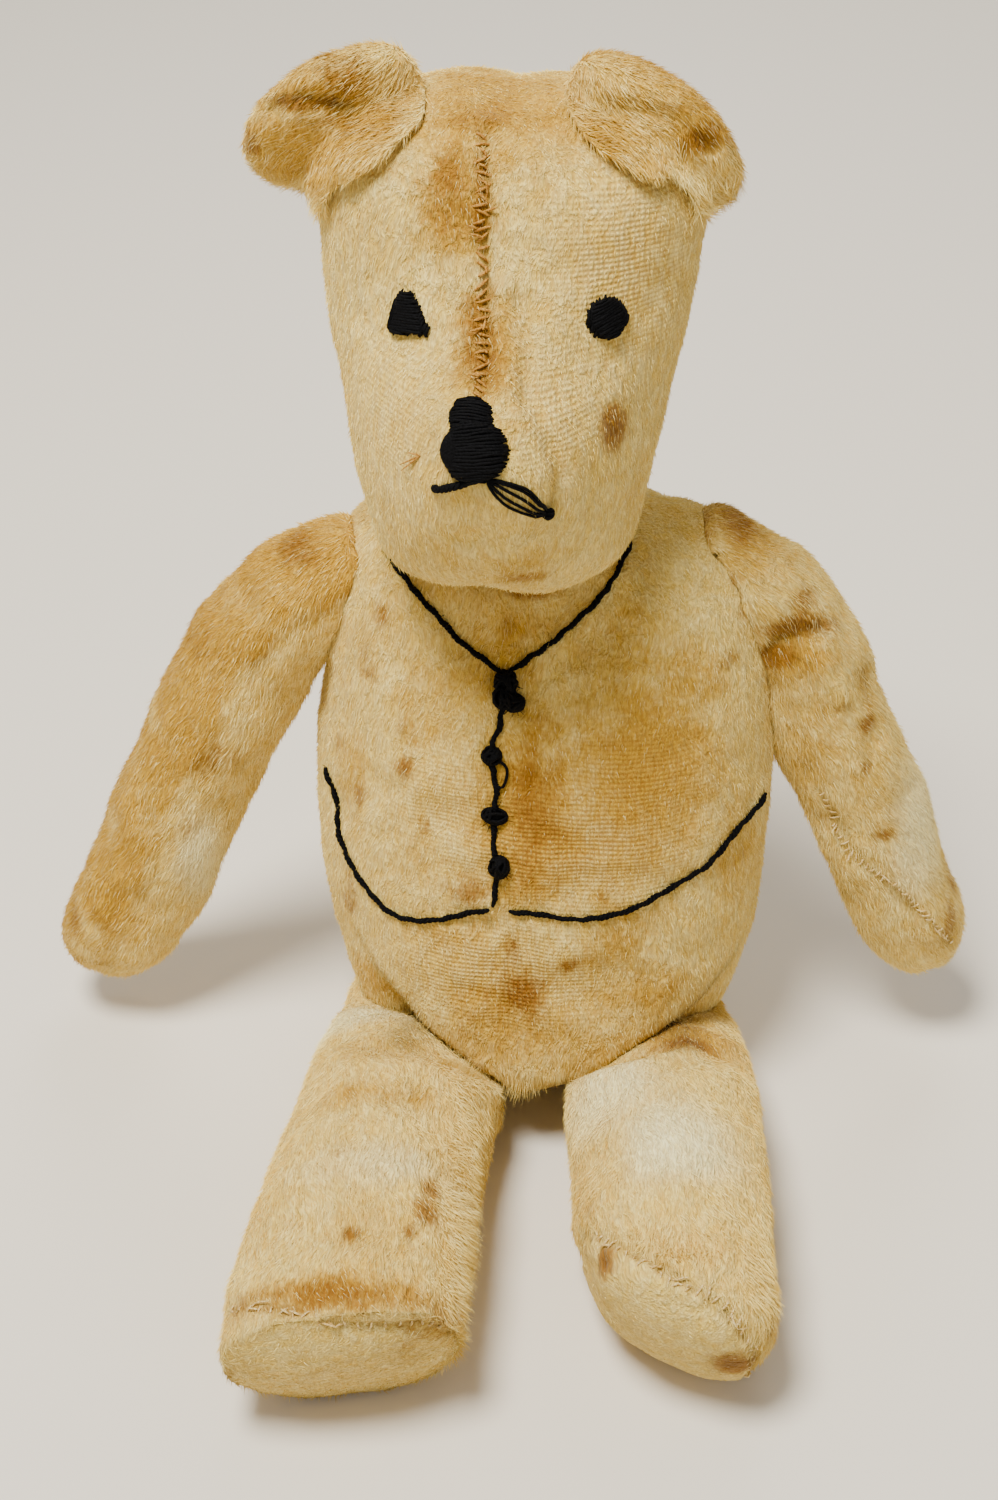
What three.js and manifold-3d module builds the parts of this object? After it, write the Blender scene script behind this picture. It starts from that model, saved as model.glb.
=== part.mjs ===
// A threadbare plush teddy bear, sitting with its legs stretched out in front.
// Millimetres, +Z up. The bear looks along -Y, so its own left side is +X.
// Every cloth panel is a thin curved shell round its own stuffing. The head, ears and limbs
// are stuffed separately and hand sewn to the closed body, so each is cut to fit its neighbour.

import * as THREE from 'three';
import { mergeVertices } from 'three/addons/utils/BufferGeometryUtils.js';
import Module from 'manifold-3d';

const wasm = await Module();
wasm.setup();

// ---------------------------------------------------------------- driving dimensions

const PLUSH = 1.3; // cloth backing with the matted root of its pile
const GAP = 0.3; // clearance between any two pieces
const THREAD = 1.4; // six-strand embroidery thread
const PAD_RISE = 1.3; // height of a block of satin stitches

const TORSO_TURN = THREE.MathUtils.degToRad(-11);
const TORSO_CENTRE_X = 12.5;
const HEAD_TURN = THREE.MathUtils.degToRad(-7);
const HEAD_PITCH = THREE.MathUtils.degToRad(-10);
const HEAD_CENTRE = new THREE.Vector3(1.2, -1, 186);

// ---------------------------------------------------------------- cloth and thread colours

const finish = (colour, roughness) => new THREE.MeshStandardMaterial({ color: colour, roughness, metalness: 0 });
const palePlush = finish(0xe8d6aa, 0.95);
const goldenPlush = finish(0xd9b376, 0.95);
const wadding = finish(0xd8c7a0, 1);
const blackThread = finish(0x14130f, 0.6);
const tanThread = finish(0xa5713a, 0.8);

// ---------------------------------------------------------------- solids and booleans

function toSolid(geometry) {
  const bare = new THREE.BufferGeometry();
  bare.setAttribute('position', geometry.getAttribute('position').clone());
  bare.setIndex(geometry.getIndex());
  const merged = mergeVertices(bare, 1e-4);
  const mesh = new wasm.Mesh({
    numProp: 3,
    vertProperties: Float32Array.from(merged.getAttribute('position').array),
    triVerts: Uint32Array.from(merged.getIndex().array),
  });
  return new wasm.Manifold(mesh);
}

function toGeometry(solid) {
  const mesh = solid.getMesh();
  const geometry = new THREE.BufferGeometry();
  geometry.setAttribute('position', new THREE.BufferAttribute(mesh.vertProperties, 3));
  geometry.setIndex(new THREE.BufferAttribute(mesh.triVerts, 1));
  geometry.computeVertexNormals();
  return geometry;
}

// The cutter's geometry, carried from the frame of one group into the frame of another.
function carried(geometry, from, to) {
  from.updateWorldMatrix(true, false);
  to.updateWorldMatrix(true, false);
  const matrix = to.matrixWorld.clone().invert().multiply(from.matrixWorld);
  return geometry.clone().applyMatrix4(matrix);
}

// Trims a piece where its neighbours lie, and keeps the largest piece that is left.
function cut(geometry, cutters) {
  let solid = toSolid(geometry);
  for (const cutter of cutters) solid = solid.subtract(toSolid(cutter));
  const pieces = solid.decompose().sort((a, b) => b.volume() - a.volume());
  return toGeometry(pieces[0]);
}

// ---------------------------------------------------------------- stuffed forms

// A quarter ellipse that rounds off one end of a form.
function endScale(distance, length) {
  if (distance >= length) return 1;
  const rest = 1 - distance / length;
  return Math.sqrt(Math.max(0, 1 - rest * rest));
}

// Places along a form, closer together where an end is rounded off.
function stationsAlong(count, startCap, endCap) {
  const stations = [];
  const capRows = 4;
  for (let i = startCap > 0 ? 1 : 0; i < capRows && startCap > 0; i += 1) {
    stations.push(startCap * (1 - Math.cos((Math.PI / 2) * (i / capRows))));
  }
  for (let i = 0; i <= count; i += 1) {
    stations.push(THREE.MathUtils.lerp(startCap, 1 - endCap, i / count));
  }
  for (let i = 1; i < capRows && endCap > 0; i += 1) {
    stations.push(1 - endCap * (1 - Math.sin((Math.PI / 2) * (i / capRows))));
  }
  return stations;
}

// A closed form of rings set along a spine. Each ring has a half width, a reach on its front,
// a reach on its back, and a pinch that narrows its front. Column 0 lies on the back seam
// and the middle column on the front seam, where a form is sewn from a left and a right half.
class StuffedForm {
  constructor({ spine, level = false, across, rings, around, along, caps, squareness = 2, floor = false }) {
    this.around = around;
    this.floor = floor;
    const curve = new THREE.CatmullRomCurve3(spine, false, 'centripetal');
    const width = rings[0].length - 1;
    const shape = new THREE.CubicInterpolant(
      Float32Array.from(rings.map((ring) => ring[0])),
      Float32Array.from(rings.flatMap((ring) => ring.slice(1))),
      width,
    );
    const stations = stationsAlong(along, caps[0], caps[1]);
    this.rows = stations.length;
    this.sides = [];
    const points = [curve.getPointAt(0)];
    for (const station of stations) {
      const centre = curve.getPointAt(station);
      const tangent = level ? new THREE.Vector3(0, 0, 1) : curve.getTangentAt(station);
      const side = across.clone().addScaledVector(tangent, -across.dot(tangent)).normalize();
      const front = new THREE.Vector3().crossVectors(side, tangent).normalize();
      this.sides.push(side);
      const [halfWidth, frontReach, backReach, pinch] = shape.evaluate(station);
      const scale = endScale(station, caps[0]) * endScale(1 - station, caps[1]);
      for (let j = 0; j < around; j += 1) {
        const angle = (2 * Math.PI * j) / around;
        const s = Math.sin(angle);
        const c = -Math.cos(angle);
        const bend = (value) => Math.sign(value) * Math.abs(value) ** (2 / squareness);
        const reach = bend(c) * (c > 0 ? frontReach : backReach) * scale;
        const spread = bend(s) * halfWidth * scale * (1 - pinch * Math.max(0, c));
        points.push(centre.clone().addScaledVector(side, spread).addScaledVector(front, reach));
      }
    }
    points.push(curve.getPointAt(1));
    this.points = points;
    this.normals = this.measureNormals();
  }

  indexOf(row, column) {
    return 1 + row * this.around + (column % this.around);
  }

  closedTriangles() {
    const last = this.points.length - 1;
    const triangles = [];
    for (let j = 0; j < this.around; j += 1) {
      triangles.push(0, this.indexOf(0, j), this.indexOf(0, j + 1));
      triangles.push(last, this.indexOf(this.rows - 1, j + 1), this.indexOf(this.rows - 1, j));
      for (let i = 0; i < this.rows - 1; i += 1) {
        const [a, b] = [this.indexOf(i, j), this.indexOf(i, j + 1)];
        const [c, d] = [this.indexOf(i + 1, j), this.indexOf(i + 1, j + 1)];
        triangles.push(a, c, d, a, d, b);
      }
    }
    return triangles;
  }

  measureNormals() {
    const geometry = new THREE.BufferGeometry().setFromPoints(this.points);
    geometry.setIndex(this.closedTriangles());
    geometry.computeVertexNormals();
    const normal = geometry.getAttribute('normal');
    return this.points.map((point, i) => new THREE.Vector3().fromBufferAttribute(normal, i));
  }

  // The form's points, moved in by a depth, or out by a negative one.
  layer(depth) {
    return this.points.map((point, i) => {
      const moved = point.clone().addScaledVector(this.normals[i], -depth);
      if (this.floor) moved.z = Math.max(moved.z, depth);
      return moved;
    });
  }

  // The whole form as one closed body at a depth.
  body(depth) {
    const geometry = new THREE.BufferGeometry().setFromPoints(this.layer(depth));
    geometry.setIndex(this.closedTriangles());
    return geometry;
  }

  // A cloth panel: the skin between two columns and two rows, or up to a pole.
  panel({ columns, rows = [-1, this.rows], apart = null }) {
    const [firstColumn, lastColumn] = columns;
    const [firstRow, lastRow] = rows;
    const isWhole = lastColumn - firstColumn === this.around;
    const outer = this.layer(0);
    const inner = this.layer(PLUSH);
    const last = this.points.length - 1;
    const points = [];
    const grid = [];
    const shift = new THREE.Vector3();
    const middle = (firstColumn + lastColumn) / 2;
    const hand = Math.sign(Math.sin((2 * Math.PI * middle) / this.around));
    for (const skin of [outer, inner]) {
      const sheet = [];
      for (let i = firstRow; i <= lastRow; i += 1) {
        const line = [];
        const pole = i < 0 ? 0 : last;
        const isPole = i < 0 || i >= this.rows;
        for (let j = firstColumn; j <= lastColumn; j += 1) {
          if (isPole && j > firstColumn) {
            line.push(line[0]);
            continue;
          }
          if (isWhole && j === lastColumn) {
            line.push(line[0]);
            continue;
          }
          const side = this.sides[THREE.MathUtils.clamp(i, 0, this.rows - 1)];
          shift.copy(apart ?? side).multiplyScalar(apart ? 1 : (hand * GAP) / 2);
          line.push(points.length);
          points.push(skin[isPole ? pole : this.indexOf(i, j)].clone().add(shift));
        }
        sheet.push(line);
      }
      grid.push(sheet);
    }
    return sheetPair(points, grid, isWhole, firstRow >= 0, lastRow < this.rows);
  }
}

// Closes two facing sheets of points into one body, with a wall along each open border.
function sheetPair(points, [outer, inner], isWhole, wallAtStart, wallAtEnd) {
  const triangles = [];
  const quad = (a, b, c, d) => {
    const corners = [a, b, c, d].filter((corner, i, all) => all.indexOf(corner) === i);
    if (corners.length === 4) triangles.push(a, b, c, a, c, d);
    if (corners.length === 3) triangles.push(...corners);
  };
  const rows = outer.length - 1;
  const columns = outer[0].length - 1;
  for (let i = 0; i < rows; i += 1) {
    for (let j = 0; j < columns; j += 1) {
      quad(outer[i][j], outer[i + 1][j], outer[i + 1][j + 1], outer[i][j + 1]);
      quad(inner[i][j], inner[i][j + 1], inner[i + 1][j + 1], inner[i + 1][j]);
    }
    if (!isWhole) {
      quad(outer[i][0], inner[i][0], inner[i + 1][0], outer[i + 1][0]);
      quad(outer[i][columns], outer[i + 1][columns], inner[i + 1][columns], inner[i][columns]);
    }
  }
  for (let j = 0; j < columns; j += 1) {
    if (wallAtStart) quad(outer[0][j], outer[0][j + 1], inner[0][j + 1], inner[0][j]);
    if (wallAtEnd) quad(outer[rows][j], inner[rows][j], inner[rows][j + 1], outer[rows][j + 1]);
  }
  const geometry = new THREE.BufferGeometry().setFromPoints(points);
  geometry.setIndex(triangles);
  return geometry;
}

// ---------------------------------------------------------------- the seven stuffed forms

const vec = (x, y, z) => new THREE.Vector3(x, y, z);

const TORSO_HEIGHT = 140;
const torsoForm = new StuffedForm({
  spine: [vec(-2, -3, 0), vec(-3, 2, 45), vec(-4, 8, 92), vec(-6, 13, TORSO_HEIGHT)],
  level: true,
  across: vec(1, 0, 0),
  // place, half width, front reach, back reach, pinch
  rings: [
    [0, 29, 20, 25, 0.26],
    [0.03, 36, 28, 31, 0.26],
    [0.09, 42, 37, 35, 0.2],
    [0.2, 46.5, 39.5, 38, 0.08],
    [0.38, 49.5, 39.5, 39, 0],
    [0.55, 50, 37, 37.5, 0],
    [0.68, 49, 32, 34.5, 0],
    [0.8, 47.5, 26.5, 31, 0],
    [0.9, 44, 22.5, 27, 0],
    [1, 38, 19, 22, 0],
  ],
  around: 28,
  along: 10,
  caps: [0, 0.1],
  squareness: 2.2,
  floor: true,
});

const headForm = new StuffedForm({
  spine: [vec(0, 6, -52), vec(0, 3, -20), vec(0, 3, 15), vec(0, 7, 47)],
  level: true,
  across: vec(1, 0, 0),
  rings: [
    [0, 24, 22, 23, 0],
    [0.1, 26.5, 32, 26, 0.14],
    [0.22, 28.8, 39, 30, 0.26],
    [0.35, 31.2, 43.5, 34, 0.4],
    [0.46, 33, 41, 36, 0.46],
    [0.56, 34.6, 30, 37, 0.34],
    [0.66, 35.8, 24.5, 37, 0.14],
    [0.78, 36.6, 23, 36, 0],
    [0.9, 36, 21.5, 33, 0],
    [1, 34, 19, 30, 0],
  ],
  around: 28,
  along: 8,
  caps: [0.08, 0.17],
  squareness: 2.25,
});

function earForm(hand) {
  return new StuffedForm({
    spine: [vec(0, 2, -13), vec(0, 0, -3), vec(hand, -1.5, 6), vec(hand * 2, -5, 15)],
    across: vec(1, 0, 0),
    rings: [
      [0, 15, 5.5, 5.5, 0],
      [0.3, 19.5, 6.5, 6.5, 0],
      [0.6, 21, 6.5, 7, 0],
      [1, 18, 5.5, 6.5, 0],
    ],
    around: 16,
    along: 3,
    caps: [0.12, 0.42],
  });
}

function armForm(spine, girth) {
  return new StuffedForm({
    spine,
    across: vec(1, 0, 0),
    rings: [
      [0, 13.5 * girth, 14, 14, 0],
      [0.2, 15 * girth, 15.5, 15.5, 0],
      [0.5, 15.5 * girth, 16, 16, 0],
      [0.8, 15 * girth, 15, 15, 0],
      [1, 13 * girth, 13, 13, 0],
    ],
    around: 16,
    along: 7,
    caps: [0.05, 0.13],
  });
}

// Bear's right arm leaves the shoulder sideways and falls to the floor beside the hip.
const armForms = {
  left: armForm([vec(-14, 1, 4), vec(9, 0, -8), vec(25, -3, -40), vec(40, -6, -76), vec(53, -8, -106)], 0.98),
  right: armForm([vec(14, 1, 4), vec(-10, 0, -7), vec(-29, -3, -40), vec(-45, -6, -76), vec(-62, -8, -108)], 1.06),
};
const ARM_PLACES = { left: vec(50, 8, 123), right: vec(-36, 15, 117) };

function legForm(spine, widths) {
  const [root, thigh, shin, ankle, foot] = widths;
  return new StuffedForm({
    spine,
    across: vec(1, 0, 0),
    rings: [
      [0, root, 14, 4, 0],
      [0.18, 0.5 * (root + thigh), 17, 6, 0],
      [0.34, thigh, 19, 14, 0],
      [0.5, shin, 20, 19, 0],
      [0.75, ankle, 21, 19, 0],
      [0.92, foot, 23, 18.5, 0],
      [1, foot, 22, 18, 0],
    ],
    around: 16,
    along: 6,
    caps: [0.05, 0.1],
    squareness: 2.2,
    floor: true,
  });
}

const legForms = {
  left: legForm([vec(0, 8, 15), vec(0, -24, 17), vec(1, -68, 20), vec(1, -100, 22), vec(0, -122, 18)],
    [17, 22.5, 22, 21, 21]),
  right: legForm([vec(0, 8, 15), vec(-1, -24, 17), vec(-8, -68, 20), vec(-13, -100, 22), vec(-15, -122, 18)],
    [17, 23, 23, 23.5, 25]),
};
const LEG_PLACES = { left: vec(35.5, 0, 0), right: vec(-17.5, 0, 0) };

// ---------------------------------------------------------------- the scene graph

const bear = new THREE.Group();
const torsoGroup = new THREE.Group();
torsoGroup.position.set(TORSO_CENTRE_X, 0, 0);
torsoGroup.rotation.z = TORSO_TURN;
const headGroup = new THREE.Group();
headGroup.position.copy(HEAD_CENTRE);
headGroup.rotation.set(HEAD_PITCH, 0, HEAD_TURN, 'ZXY');
bear.add(torsoGroup, headGroup);

function add(group, name, geometry, material) {
  const mesh = new THREE.Mesh(geometry, material);
  mesh.name = name;
  group.add(mesh);
  return mesh;
}

const sides = ['left', 'right'];
const handOf = { left: 1, right: -1 };

// Columns run from the back seam over the bear's left side to the front seam, and on
// over its right side back to where they began.
function halves(form) {
  return {
    left: [0, form.around / 2],
    right: [form.around / 2, form.around],
  };
}

for (const side of sides) {
  add(torsoGroup, `torso_panel_${side}`, torsoForm.panel({ columns: halves(torsoForm)[side] }), palePlush);
}
add(torsoGroup, 'torso_stuffing', torsoForm.body(PLUSH + GAP), wadding);

const torsoCutter = torsoForm.body(-GAP);
const headCutters = [carried(torsoCutter, torsoGroup, headGroup)];
for (const side of sides) {
  const panel = headForm.panel({ columns: halves(headForm)[side] });
  add(headGroup, `head_panel_${side}`, cut(panel, headCutters), palePlush);
}
add(headGroup, 'head_stuffing', cut(headForm.body(PLUSH + GAP), headCutters), wadding);

const EAR_PLACES = { left: vec(26, 2, 38.5), right: vec(-32.5, 2, 38.5) };
const EAR_TILT = THREE.MathUtils.degToRad(32);
const EAR_FLOP = THREE.MathUtils.degToRad(24);
for (const side of sides) {
  const hand = handOf[side];
  const form = earForm(hand);
  const group = new THREE.Group();
  group.position.copy(EAR_PLACES[side]);
  group.rotation.set(EAR_FLOP, hand * EAR_TILT, 0, 'YXZ');
  headGroup.add(group);
  const cutters = [carried(headForm.body(-GAP), headGroup, group)];
  const quarter = form.around / 4;
  const front = form.panel({ columns: [quarter, 3 * quarter], apart: vec(0, -GAP / 2, 0) });
  const back = form.panel({ columns: [3 * quarter, 5 * quarter], apart: vec(0, GAP / 2, 0) });
  add(group, `ear_${side}_front`, cut(front, cutters), palePlush);
  add(group, `ear_${side}_back`, cut(back, cutters), goldenPlush);
  add(group, `ear_${side}_stuffing`, cut(form.body(PLUSH + GAP), cutters), wadding);
}

for (const side of sides) {
  const form = armForms[side];
  const group = new THREE.Group();
  group.position.copy(ARM_PLACES[side]);
  bear.add(group);
  const cutters = [
    carried(torsoCutter, torsoGroup, group),
    carried(headForm.body(-GAP), headGroup, group),
  ];
  const columns = halves(form);
  const outer = form.panel({ columns: columns[side] });
  const inner = form.panel({ columns: columns[side === 'left' ? 'right' : 'left'] });
  add(group, `arm_${side}_outer_panel`, cut(outer, cutters), side === 'left' ? palePlush : goldenPlush);
  add(group, `arm_${side}_inner_panel`, cut(inner, cutters), palePlush);
  add(group, `arm_${side}_stuffing`, cut(form.body(PLUSH + GAP), cutters), wadding);
}

for (const side of sides) {
  const form = legForms[side];
  const group = new THREE.Group();
  group.position.copy(LEG_PLACES[side]);
  bear.add(group);
  const cutters = [carried(torsoCutter, torsoGroup, group)];
  const quarter = form.around / 4;
  const soleRow = form.rows - 3;
  const rows = [-1, soleRow];
  const under = form.panel({ columns: [quarter, 3 * quarter], rows, apart: vec(0, 0, 0) });
  const upper = form.panel({ columns: [3 * quarter, 5 * quarter], rows, apart: vec(0, 0, GAP) });
  add(group, `leg_${side}_upper_panel`, cut(upper, cutters), palePlush);
  add(group, `leg_${side}_under_panel`, cut(under, cutters), palePlush);
  const sole = form.panel({ columns: [0, form.around], rows: [soleRow, form.rows], apart: vec(0, -GAP, 0) });
  add(group, `leg_${side}_sole`, sole, palePlush);
  add(group, `leg_${side}_stuffing`, cut(form.body(PLUSH + GAP), cutters), wadding);
}

// ---------------------------------------------------------------- embroidery

// A place on a form's skin: the point where a line from `near` to the form's core meets it.
function onSkin(form, near, rise) {
  const core = vec(form.points[0].x, 5, THREE.MathUtils.clamp(near.z, form.core[0], form.core[1]));
  const inward = core.sub(near).normalize();
  const start = near.clone().addScaledVector(inward, -30);
  const hit = new THREE.Raycaster(start, inward).intersectObject(form.skin)[0];
  const normal = hit.face.normal.clone();
  return { point: hit.point.clone().addScaledVector(normal, rise), normal };
}

for (const [form, core] of [[torsoForm, [40, 100]], [headForm, [-20, 20]]]) {
  form.skin = new THREE.Mesh(form.body(0));
  form.core = core;
}

function thread(form, route, width = THREAD) {
  const rise = GAP + width / 2 + 0.1;
  const points = route.map(([x, y, z]) => onSkin(form, vec(x, y, z), rise).point);
  const section = new THREE.Shape();
  const corners = 6;
  for (let i = 0; i < corners; i += 1) {
    const angle = (2 * Math.PI * i) / corners;
    const [x, y] = [(width / 2) * Math.cos(angle), (width / 2) * Math.sin(angle)];
    if (i === 0) section.moveTo(x, y);
    else section.lineTo(x, y);
  }
  section.closePath();
  const path = new THREE.CatmullRomCurve3(points, false, 'centripetal');
  const steps = Math.max(4, Math.round(path.getLength() / 5));
  const tube = new THREE.ExtrudeGeometry(section, { steps, extrudePath: path, bevelEnabled: false });
  return cut(tube, [form.body(-GAP)]);
}

// A knot of thread, longer down the front than across it.
function knot(form, [x, y, z], [halfWidth, halfHeight]) {
  const halfDepth = 1.4;
  const { point, normal } = onSkin(form, vec(x, y, z), GAP + halfDepth + 0.1);
  const geometry = new THREE.SphereGeometry(1, 8, 6).scale(halfWidth, halfDepth, halfHeight);
  const turn = new THREE.Quaternion().setFromUnitVectors(vec(0, -1, 0), normal);
  return geometry.applyQuaternion(turn).translate(point.x, point.y, point.z);
}

// A block of satin stitches: an outline in x and z, carried forward onto the face.
function stitchBlock(form, outlines) {
  let prism = null;
  for (const outline of outlines) {
    const geometry = new THREE.ExtrudeGeometry(outline, { depth: 70, bevelEnabled: false, curveSegments: 8 });
    const solid = toSolid(geometry.rotateX(Math.PI / 2));
    prism = prism ? prism.add(solid) : solid;
  }
  const raised = toSolid(form.body(-GAP - PAD_RISE)).subtract(toSolid(form.body(-GAP)));
  return toGeometry(raised.intersect(prism));
}

function disc(x, z, halfWidth, halfHeight) {
  return new THREE.Shape().absellipse(x, z, halfWidth, halfHeight, 0, 2 * Math.PI);
}

const rightEye = new THREE.Shape();
rightEye.moveTo(-20.3, 5.4);
rightEye.quadraticCurveTo(-16.3, 4.2, -12.6, 5.8);
rightEye.lineTo(-14.2, 9);
rightEye.quadraticCurveTo(-16.6, 14.4, -18.8, 9);
rightEye.closePath();
const noseTop = new THREE.Shape();
noseTop.moveTo(-6.8, -10);
noseTop.lineTo(-6.2, -3.6);
noseTop.quadraticCurveTo(-2.6, -1.6, 1.2, -2.4);
noseTop.lineTo(1.8, -10);
noseTop.closePath();

add(headGroup, 'eye_left', stitchBlock(headForm, [disc(20.6, 9.1, 4.1, 4)]), blackThread);
add(headGroup, 'eye_right', stitchBlock(headForm, [rightEye]), blackThread);
add(headGroup, 'nose', stitchBlock(headForm, [noseTop, disc(-1.4, -11, 6.4, 5.4)]), blackThread);
const mouthBar = thread(headForm, [[-1.8, -40, -18.2], [-5, -39, -19], [-8.3, -37.5, -20]], 1.7);
add(headGroup, 'mouth_right', mouthBar, blackThread);
const loops = [
  [[2.4, -40, -18], [7, -38, -18.6], [10.4, -35, -21.6], [11.9, -33, -25]],
  [[2.4, -40, -18], [4.6, -39, -21.6], [8.4, -36, -24.2], [11.9, -33, -25]],
];
const [upperLoop, lowerLoop] = loops.map((route) => toSolid(thread(headForm, route)));
add(headGroup, 'mouth_left', toGeometry(upperLoop.add(lowerLoop)), blackThread);
const crownToNose = [[0, -8, 41], [0, -16, 32], [0, -20, 22], [0, -22, 12], [0, -30, 2], [0, -33, -0.6]];
add(headGroup, 'head_seam_stitching', thread(headForm, crownToNose, 1), tanThread);

const frontEdge = [[-8.4, -16, 112], [-8.8, -19, 105], [-9.4, -23, 97], [-8.3, -28, 83.5], [-7.2, -32, 73],
  [-7.2, -34, 65]];
const buttons = [
  { place: [-8, -17, 109.4], size: [3, 4.6] },
  { place: [-9.8, -23, 96.8], size: [2.4, 2.4] },
  { place: [-8.3, -28, 83.5], size: [2.9, 2.3] },
  { place: [-7, -32, 73], size: [2.5, 2.7] },
];
let frontThread = toSolid(thread(torsoForm, frontEdge));
for (const { place, size } of buttons) frontThread = frontThread.add(toSolid(knot(torsoForm, place, size)));
add(torsoGroup, 'front_edge_and_buttons', toGeometry(frontThread), blackThread);

const seams = {
  neckline_stitch_left: [[15.6, 7, 138], [14, -1, 134], [8.2, -10, 126.6], [1, -13, 120.5], [-5.2, -14.6, 116.4]],
  neckline_stitch_right: [[-37.4, -1, 130], [-29, -8, 125], [-19.6, -13, 119.5], [-11.6, -14.6, 116]],
  hem_stitch_left: [[-4.6, -34.4, 62.9], [5, -34, 62.8], [14.5, -32.4, 63], [25.7, -28, 66], [35.3, -20.6, 70],
    [41.6, -12, 74.3], [46.5, 0, 78]],
  hem_stitch_right: [[-9.8, -34.4, 61.6], [-18, -34, 58.8], [-28.7, -31.4, 55.8], [-37.8, -26, 59.3],
    [-46.7, -16.8, 64.7], [-51, -4, 74]],
};
const chinCutter = carried(headForm.body(-GAP), headGroup, torsoGroup);
for (const [name, route] of Object.entries(seams)) {
  add(torsoGroup, name, cut(thread(torsoForm, route), [chinCutter]), blackThread);
}

// ---------------------------------------------------------------- origin at the bottom centre

const bounds = new THREE.Box3().setFromObject(bear, true);
const centre = bounds.getCenter(new THREE.Vector3());
bear.position.set(-centre.x, -centre.y, -bounds.min.z);

export default bear;
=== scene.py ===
"""Looks of an old plush bear: matted cream plush over stuffed forms, brown stains, worn patches
where the backing weave shows, and a face and waistcoat sewn in black embroidery thread.
"""

import math
import random

import bmesh
import bpy
import numpy as np
from mathutils import Matrix, Vector, noise
from mathutils.bvhtree import BVHTree


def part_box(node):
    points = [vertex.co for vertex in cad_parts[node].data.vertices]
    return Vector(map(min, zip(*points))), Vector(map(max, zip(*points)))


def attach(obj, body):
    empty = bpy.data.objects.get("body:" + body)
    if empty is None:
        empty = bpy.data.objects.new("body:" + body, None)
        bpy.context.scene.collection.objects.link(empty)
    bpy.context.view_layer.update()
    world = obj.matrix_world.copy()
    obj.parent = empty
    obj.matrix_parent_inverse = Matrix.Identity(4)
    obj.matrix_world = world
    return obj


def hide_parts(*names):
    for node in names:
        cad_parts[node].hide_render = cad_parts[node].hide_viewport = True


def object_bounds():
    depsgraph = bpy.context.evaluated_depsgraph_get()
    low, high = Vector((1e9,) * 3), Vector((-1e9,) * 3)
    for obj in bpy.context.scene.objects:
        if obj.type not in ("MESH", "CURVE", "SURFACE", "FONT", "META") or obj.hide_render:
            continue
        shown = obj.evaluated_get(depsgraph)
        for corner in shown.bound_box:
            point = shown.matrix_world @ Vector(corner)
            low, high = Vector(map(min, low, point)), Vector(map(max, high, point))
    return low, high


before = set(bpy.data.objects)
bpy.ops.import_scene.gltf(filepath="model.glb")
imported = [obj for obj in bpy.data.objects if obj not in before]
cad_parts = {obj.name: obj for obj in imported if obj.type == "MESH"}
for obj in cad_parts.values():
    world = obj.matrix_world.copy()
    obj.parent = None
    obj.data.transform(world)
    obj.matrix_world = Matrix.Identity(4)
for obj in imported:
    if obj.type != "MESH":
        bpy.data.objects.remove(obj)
CAD_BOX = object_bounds()

MM = 0.001
UP = Vector((0, 0, 1))
AHEAD = Vector((0, -1, 0))  # the way the bear looks
PLUSH = 1.6 * MM  # the cloth and the slack under it, round the stuffing
FINE_VOXEL = 2.6 * MM
SMALL_VOXEL = 1.8 * MM
SEAM_HOLD = 2.5 * MM  # how far from a seam the cloth is held down
SEWN_GAP = 0.15 * MM  # between two skins that are sewn together

random.seed(11)


# ---------------------------------------------------------------- camera, light and floor


def look_through():
    """The camera: above the bear and in front of it, looking down at its chest."""
    low, high = CAD_BOX
    size = high - low
    target = low + Vector((0.487 * size.x, 0.612 * size.y, 0.404 * size.z))
    rise = math.radians(38)
    distance = 0.505
    back = Vector((0, -math.cos(rise), math.sin(rise)))
    data = bpy.data.cameras.new("camera")
    data.sensor_fit = "VERTICAL"
    data.sensor_height = 36
    data.lens = 57.6
    data.clip_start, data.clip_end = 0.01, 20
    camera = bpy.data.objects.new("camera", data)
    camera.location = target + back * distance
    camera.rotation_mode = "QUATERNION"
    camera.rotation_quaternion = (-back).to_track_quat("-Z", "Y")
    bpy.context.scene.collection.objects.link(camera)
    bpy.context.scene.camera = camera


def soft_lamp(name, place, size, power, colour):
    data = bpy.data.lights.new(name, "AREA")
    data.shape = "DISK"
    data.size = size
    data.energy = power
    data.color = colour
    lamp = bpy.data.objects.new(name, data)
    lamp.location = place
    aim = Vector((0, 0, 0.1)) - Vector(place)
    lamp.rotation_mode = "QUATERNION"
    lamp.rotation_quaternion = aim.to_track_quat("-Z", "Y")
    bpy.context.scene.collection.objects.link(lamp)


def light_the_room():
    world = bpy.data.worlds.new("room")
    world.use_nodes = True
    sky = world.node_tree.nodes["Background"]
    sky.inputs["Color"].default_value = (0.95, 0.93, 0.9, 1)
    sky.inputs["Strength"].default_value = 0.36
    bpy.context.scene.world = world
    soft_lamp("key lamp", (-0.27, -0.2, 1.14), 0.4, 23, (1, 0.97, 0.9))
    soft_lamp("fill lamp", (0.6, -0.9, 0.5), 0.8, 1.6, (1, 0.96, 0.9))
    soft_lamp("back lamp", (0.15, 0.8, 0.8), 0.6, 4, (1, 0.98, 0.94))


# ---------------------------------------------------------------- node helpers


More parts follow.
